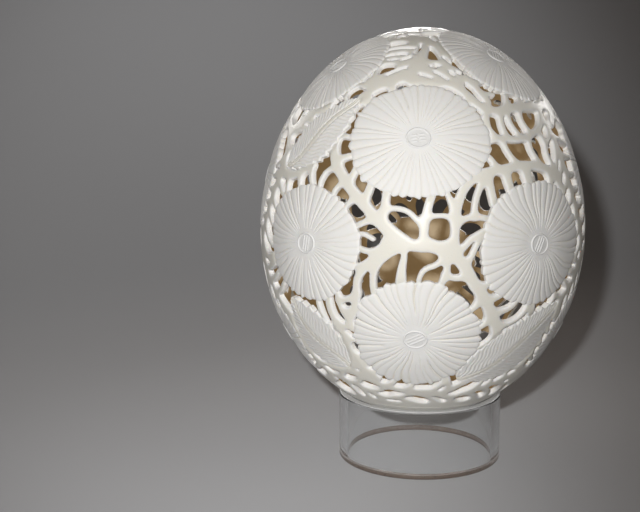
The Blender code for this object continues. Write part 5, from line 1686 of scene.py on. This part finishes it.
class Graph:
    """A material's nodes, made from Python expressions."""

    def __init__(self, name: str) -> None:
        """An empty material with an output and a Principled shader."""
        self.material = bpy.data.materials.new(name)
        self.material.use_nodes = True
        self.tree = self.material.node_tree
        self.shader = self.tree.nodes["Principled BSDF"]

    def node(self, kind: str, settings: dict[str, Any], inputs: dict[Any, Any],
             output: Union[str, int] = 0) -> Wire:
        """Any node.

        Args:
            kind: the node's type.
            settings: its settings, set before its sockets.
            inputs: values or wires of its sockets, by name or number.
            output: the socket that the wire is taken from.

        Returns:
            The wire of that output.
        """
        made = self.tree.nodes.new(kind)
        for key, value in settings.items():
            setattr(made, key, value)
        for key, value in inputs.items():
            self.plug(made.inputs[key], value)
        return Wire(self, made.outputs[output])

    def plug(self, socket: bpy.types.NodeSocket, value: Any) -> None:
        """Links a wire to a socket, or sets its value."""
        if isinstance(value, Wire):
            self.tree.links.new(value.socket, socket)
        elif isinstance(value, (tuple, list)) and len(value) == 3 and socket.type == "RGBA":
            socket.default_value = (*value, 1.0)
        else:
            socket.default_value = value

    def math(self, kind: str, *values: Value) -> Wire:
        """A Math node of this kind."""
        return self.node("ShaderNodeMath", {"operation": kind}, dict(enumerate(values)))

    def tone(self, label: str) -> Wire:
        """A mesh attribute's value."""
        return self.node("ShaderNodeAttribute", {"attribute_name": label}, {}, "Fac")

    def where(self, scale: Sequence[float] = (1.0, 1.0, 1.0)) -> Wire:
        """Object coordinates, scaled."""
        place = self.node("ShaderNodeTexCoord", {}, {}, "Object")
        return self.node("ShaderNodeMapping", {}, {"Vector": place, "Scale": tuple(scale)})

    def noise(self, place: Wire, scale: float, detail: float = 3.0, rough: float = 0.55) -> Wire:
        """Cloudy noise of a scale per metre."""
        return self.node("ShaderNodeTexNoise", {}, {
            "Vector": place, "Scale": scale, "Detail": detail, "Roughness": rough}, "Fac")

    def spots(self, place: Wire, scale: float) -> Wire:
        """Distance to the nearest of scattered points."""
        return self.node("ShaderNodeTexVoronoi", {}, {"Vector": place, "Scale": scale}, "Distance")

    def band(self, value: Wire, low: float, high: float) -> Wire:
        """Rises smoothly from 0 at low to 1 at high."""
        return self.node("ShaderNodeMapRange", {"interpolation_type": "SMOOTHSTEP"}, {
            "Value": value, "From Min": low, "From Max": high})

    def blend(self, factor: Value, first: Any, second: Any) -> Wire:
        """A mix of two colours."""
        return self.node("ShaderNodeMix", {"data_type": "RGBA"}, {
            0: factor, 6: first, 7: second}, 2)

    def bump(self, height: Wire, distance: float, strength: float = 1.0) -> Wire:
        """A normal that stands for a height in metres times the distance."""
        return self.node("ShaderNodeBump", {}, {
            "Height": height, "Distance": distance, "Strength": strength})

    def dress(self, **sockets: Any) -> bpy.types.Material:
        """Sets the shader's sockets, underscores standing for spaces, and hands it over."""
        for label, value in sockets.items():
            self.plug(self.shader.inputs[label.replace("_", " ")], value)
        return self.material


# ---------------------------------------------------------------- finishes


@dataclass(frozen=True)
class ShellFinish:
    """Eggshell: cream and slightly glossy where uncut, chalk white where cut."""

    name: str
    uncut: tuple[float, float, float] = (0.82, 0.805, 0.74)
    cut: tuple[float, float, float] = (0.86, 0.86, 0.85)
    # groove: the darker colour of the painted shade in the grooves, also used for the pores and
    # clouds
    groove: tuple[float, float, float] = (0.73, 0.70, 0.62)
    gloss: float = 0.38
    chalk: float = 0.78
    grain: float = 0.00005

    def material(self) -> bpy.types.Material:
        """Colour from the cut tone and the groove tone, which paints shade into the grooves, with
        pores, clouds and a fine grain.
        """
        g = Graph(self.name)
        place = g.where()
        cut = g.tone("cut")
        groove = g.tone("groove")
        cloud = g.noise(place, 90.0, 3.0)
        fine = g.noise(place, 1500.0, 3.0, 0.6)
        pore = 1.0 - g.band(g.spots(place, 900.0), 0.08, 0.22)
        worn = (cut + (cloud - 0.5) * 0.35).clamped()
        colour = g.blend(worn, self.uncut, self.cut)
        # painted shade: the groove tone darkens the grooves towards the groove colour
        colour = g.blend((groove * 0.6 * (0.6 + 0.8 * cloud)).clamped(), colour, self.groove)
        shade = (0.5 * (1.0 - cut) * pore + 0.10 * g.band(cloud, 0.55, 0.75)).clamped()
        colour = g.blend(shade * 0.5, colour, self.groove)
        rough = (self.gloss + (self.chalk - self.gloss) * worn + 0.1 * (fine - 0.5)).clamped()
        height = fine * (0.3 + 0.7 * cut) - 0.6 * pore * (1.0 - cut)
        return g.dress(Base_Color=colour, Roughness=rough, IOR=1.5,
                       Subsurface_Weight=0.12, Subsurface_Radius=(1.0, 0.8, 0.55),
                       Subsurface_Scale=0.0012, Normal=g.bump(height, self.grain))


@dataclass(frozen=True)
class PaintedGlowFinish:
    """The inside of the shell: dull ochres with a faint mottle and a warm emission, a painted glow
    of the light that passes through the shell.
    """

    name: str
    pale: tuple[float, float, float] = (0.50, 0.42, 0.30)
    dark: tuple[float, float, float] = (0.42, 0.34, 0.22)

    def material(self) -> bpy.types.Material:
        """Two ochres in clouds, with a fine bump and a painted glow."""
        g = Graph(self.name)
        place = g.where()
        cloud = g.noise(place, 60.0, 4.0)
        fine = g.noise(place, 1100.0, 2.0)
        # painted light: the ochres and the even warm emission stand for light passing through the
        # shell
        return g.dress(Base_Color=g.blend(g.band(cloud, 0.35, 0.7), self.pale, self.dark),
                       Roughness=0.7, Normal=g.bump(fine, 0.00006),
                       Emission_Color=(0.56, 0.37, 0.17), Emission_Strength=0.13)


@dataclass(frozen=True)
class AcrylicFinish:
    """Clear acrylic: see-through, with hairline scratches in its gloss."""

    name: str
    tint: tuple[float, float, float] = (0.97, 0.98, 0.985)

    def material(self) -> bpy.types.Material:
        """Plain transmission; the scratches are stretched noise in the roughness."""
        g = Graph(self.name)
        hair = g.band(g.noise(g.where((1.0, 1.0, 0.06)), 1400.0, 2.0), 0.62, 0.72)
        return g.dress(Base_Color=self.tint, Roughness=0.015 + 0.08 * hair, IOR=1.49,
                       Transmission_Weight=1.0)


@dataclass(frozen=True)
class SawnFinish:
    """The ring's sawn ends: frosted by fine saw marks."""

    name: str
    pale: tuple[float, float, float] = (0.9, 0.91, 0.92)
    dull: tuple[float, float, float] = (0.75, 0.76, 0.78)
    haze: float = 0.35
    clear: float = 0.35

    def material(self) -> bpy.types.Material:
        """Half clear and rough, with specks and a fine bump."""
        g = Graph(self.name)
        place = g.where()
        speck = g.band(g.noise(place, 900.0, 3.0), 0.6, 0.68)
        mark = g.noise(place, 2600.0, 2.0)
        return g.dress(Base_Color=g.blend(speck, self.pale, self.dull),
                       Roughness=self.haze + 0.2 * mark, IOR=1.49,
                       Transmission_Weight=self.clear,
                       Normal=g.bump(mark, 0.00004))


@dataclass(frozen=True)
class BackdropFinish:
    """The plain pale floor and wall."""

    name: str
    colour: tuple[float, float, float] = (0.49, 0.5, 0.525)

    def material(self) -> bpy.types.Material:
        """One dull grey with a trace of mottle."""
        g = Graph(self.name)
        cloud = g.noise(g.where(), 6.0, 2.0)
        shade = tuple(0.97 * c for c in self.colour)
        return g.dress(Base_Color=g.blend(cloud, self.colour, shade), Roughness=0.9)


# ---------------------------------------------------------------- studio


@dataclass
class Studio:
    """Floor, backdrop, lights and the camera at the photograph's angle."""

    eye: tuple[float, float, float] = (0.0, -445.25, 155.20)
    right: tuple[float, float, float] = (0.99616, 0.0874, -0.00555)
    up: tuple[float, float, float] = (-0.00911, 0.16647, 0.98600)
    ahead: tuple[float, float, float] = (-0.0871, 0.98217, -0.16663)
    focal: float = 1150.4
    frame_wide: float = 640.0
    sensor: float = 36.0
    flash: tuple[float, float, float] = (-22.0, -450.0, 190.0)
    under: float = -0.15
    floor: float = 200.0
    wall: float = 950.0
    wall_high: float = 1500.0
    around: int = 96

    def backdrop(self, finish: bpy.types.Material) -> bpy.types.Object:
        """A round cove: a flat floor, a quarter ellipse and a wall, turned about the egg."""
        a = np.radians(np.linspace(0.0, 90.0, 25))
        r = np.r_[40.0, 120.0, self.floor + (self.wall - self.floor) * np.sin(a), self.wall]
        z = np.r_[0.0, 0.0, 0.6 * (self.wall - self.floor) * (1.0 - np.cos(a)), self.wall_high]
        z += self.under
        phi = np.linspace(0.0, 2.0 * math.pi, self.around, endpoint=False)
        x = r[:, None] * np.cos(phi)
        y = r[:, None] * np.sin(phi)
        points = np.stack(np.broadcast_arrays(x, y, z[:, None]), -1).reshape(-1, 3)
        points = np.vstack([points, [0.0, 0.0, self.under]])
        faces = grid_faces(len(r), self.around, True)
        pole = fan_faces(len(points) - 1, 0, self.around)
        zero = np.zeros(len(points))
        cove = make_piece("backdrop", [Shape(points, zero, zero, [(faces, 0), (pole, 0)])],
                          [finish], 180.0)
        return cove

    def lamp(self, data: bpy.types.Light, at: Sequence[float],
             aim: Sequence[float]) -> bpy.types.Object:
        """Puts a light at a place and turns it towards another."""
        lamp = bpy.data.objects.new(data.name, data)
        back = unit(np.array(at, float) - np.array(aim, float))
        side = unit(np.cross([0.0, 1.0, 0.1], back))
        turn = np.stack([side, np.cross(back, side), back], 1)
        place = Matrix.Translation([v * MM for v in at])
        lamp.matrix_world = place @ Matrix(turn.tolist()).to_4x4()
        lamp.visible_camera = False
        lamp.visible_transmission = False
        bpy.context.scene.collection.objects.link(lamp)
        return lamp

    def spot(self, name: str, power: float, angle: float, at: Sequence[float],
             aim: Sequence[float], soft: float) -> bpy.types.Object:
        """A round spot with soft edges.

        Args:
            name: its name.
            power: its power in watts.
            angle: width of its beam, in degrees.
            at: its place.
            aim: the point that it faces.
            soft: radius of its face, which softens the shadow's edge.

        Returns:
            The light.
        """
        data = bpy.data.lights.new(name, "SPOT")
        data.energy = power
        data.color = (1.0, 0.985, 0.96)
        data.spot_size = math.radians(angle)
        data.spot_blend = 1.0
        data.shadow_soft_size = soft * MM
        return self.lamp(data, at, aim)

    def even_spot(self, name: str, power: float, angle: float, at: Sequence[float],
                  aim: Sequence[float]) -> bpy.types.Object:
        """A wide spot that is as strong far off as near to."""
        light = self.spot(name, power, angle, at, aim, 5.0)
        light.data.use_nodes = True
        tree = light.data.node_tree
        fall = tree.nodes.new("ShaderNodeLightFalloff")
        fall.inputs["Strength"].default_value = 1.0
        tree.links.new(fall.outputs["Constant"], tree.nodes["Emission"].inputs["Strength"])
        return light

    def light_backdrop(self, cove: bpy.types.Object) -> None:
        """Three spots for the backdrop alone: two from the lens, and one from behind."""
        only = bpy.data.collections.new("backdrop_only")
        only.objects.link(cove)
        front = self.even_spot("wall_light", 15.5, 50.0, self.flash, (-170.0, 400.0, 10.0))
        near = self.even_spot("near_light", 4.6, 76.0, self.flash, (-140.0, 60.0, 0.0))
        back = self.even_spot("floor_light", 3.4, 80.0, (16.0, 600.0, 300.0), (0.0, -400.0, 0.0))
        back.data.color = (1.0, 0.85, 0.74)
        for light in (front, near, back):
            light.light_linking.receiver_collection = only
        back.light_linking.blocker_collection = only

    def fill(self, name: str, at: Sequence[float], size: float, power: float,
             colour: Sequence[float]) -> bpy.types.Object:
        """A large soft light that faces the egg."""
        data = bpy.data.lights.new(name, "AREA")
        data.shape = "DISK"
        data.size = size * MM
        data.energy = power
        data.color = colour
        return self.lamp(data, at, (0.0, 0.0, 90.0))

    def camera(self) -> None:
        """The camera, turned by its three measured directions."""
        data = bpy.data.cameras.new("camera")
        data.sensor_width = self.sensor
        data.lens = self.sensor * self.focal / self.frame_wide
        data.clip_start = 0.01
        data.clip_end = 20.0
        eye = bpy.data.objects.new("camera", data)
        turn = np.stack([self.right, self.up, -np.array(self.ahead)], 1)
        place = Matrix.Translation([v * MM for v in self.eye])
        eye.matrix_world = place @ Matrix(turn.tolist()).to_4x4()
        bpy.context.scene.collection.objects.link(eye)
        bpy.context.scene.camera = eye

    def world(self, colour: Sequence[float], strength: float) -> None:
        """An even light from all round."""
        world = bpy.data.worlds.new("room")
        world.use_nodes = True
        shade = world.node_tree.nodes["Background"]
        shade.inputs["Color"].default_value = (*colour, 1.0)
        shade.inputs["Strength"].default_value = strength
        bpy.context.scene.world = world

    def build(self, finish: bpy.types.Material, pieces: Sequence[bpy.types.Object]) -> None:
        """Everything round the object, with colours shown as they are measured.

        Args:
            finish: the backdrop's material.
            pieces: the object's pieces, which the light from behind is for.
        """
        cove = self.backdrop(finish)
        self.light_backdrop(cove)
        self.spot("key", 6.3, 54.0, self.flash, (-62.0, 0.0, 80.0), 7.0)
        lit = bpy.data.collections.new("object_only")
        for piece in pieces:
            lit.objects.link(piece)
        for name, at, power in (("back_fill", (0.0, 900.0, 320.0), 11.0),
                                ("left_fill", (-600.0, 720.0, 260.0), 6.0),
                                ("right_fill", (600.0, 720.0, 260.0), 6.0)):
            fill = self.fill(name, at, 500.0, power, (1.0, 0.98, 0.96))
            fill.light_linking.receiver_collection = lit
        self.world((1.0, 0.82, 0.66), 0.13)
        self.camera()
        bpy.context.scene.view_settings.view_transform = "Standard"


# ---------------------------------------------------------------- everything


def settle_piece(piece: bpy.types.Object, node: Node) -> None:
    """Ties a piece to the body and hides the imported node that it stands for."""
    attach(piece, "root")
    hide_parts(node.value)


def main() -> None:
    """Builds every piece in order."""
    logging.basicConfig(level=logging.INFO, format="%(name)s: %(message)s")
    shell = ShellFinish("eggshell_carved").material()
    inside = PaintedGlowFinish("eggshell_inside").material()
    carving = Carving()
    carving.work_out()
    LOG.info("the carving is laid out")
    pieces = Openwork(carving).build([shell, inside])
    pieces += FlowerCutter().build([shell, inside])
    pieces += LeafCutter().build([shell, inside])
    pieces.append(FootCap().build([shell, inside]))
    for piece in pieces:
        settle_piece(piece, Node.EGG)
    clear = AcrylicFinish("acrylic_clear").material()
    sawn = SawnFinish("acrylic_sawn").material()
    # the ring's lower band: a sawn end, frosted, whose dark browns paint the reflection of the
    # egg's shaded underside
    foot = SawnFinish("acrylic_painted_reflection", (0.24, 0.19, 0.16), (0.17, 0.13, 0.11), 0.05,
                      0.5).material()
    ring = RingStand().build([clear, sawn, foot])
    settle_piece(ring, Node.RING)
    pieces.append(ring)
    Studio().build(BackdropFinish("backdrop_grey").material(), pieces)
    total = sum(sum(len(f.vertices) - 2 for f in p.data.polygons) for p in pieces)
    LOG.info("%d triangles in all", total)


if __name__ == "__main__":
    main()
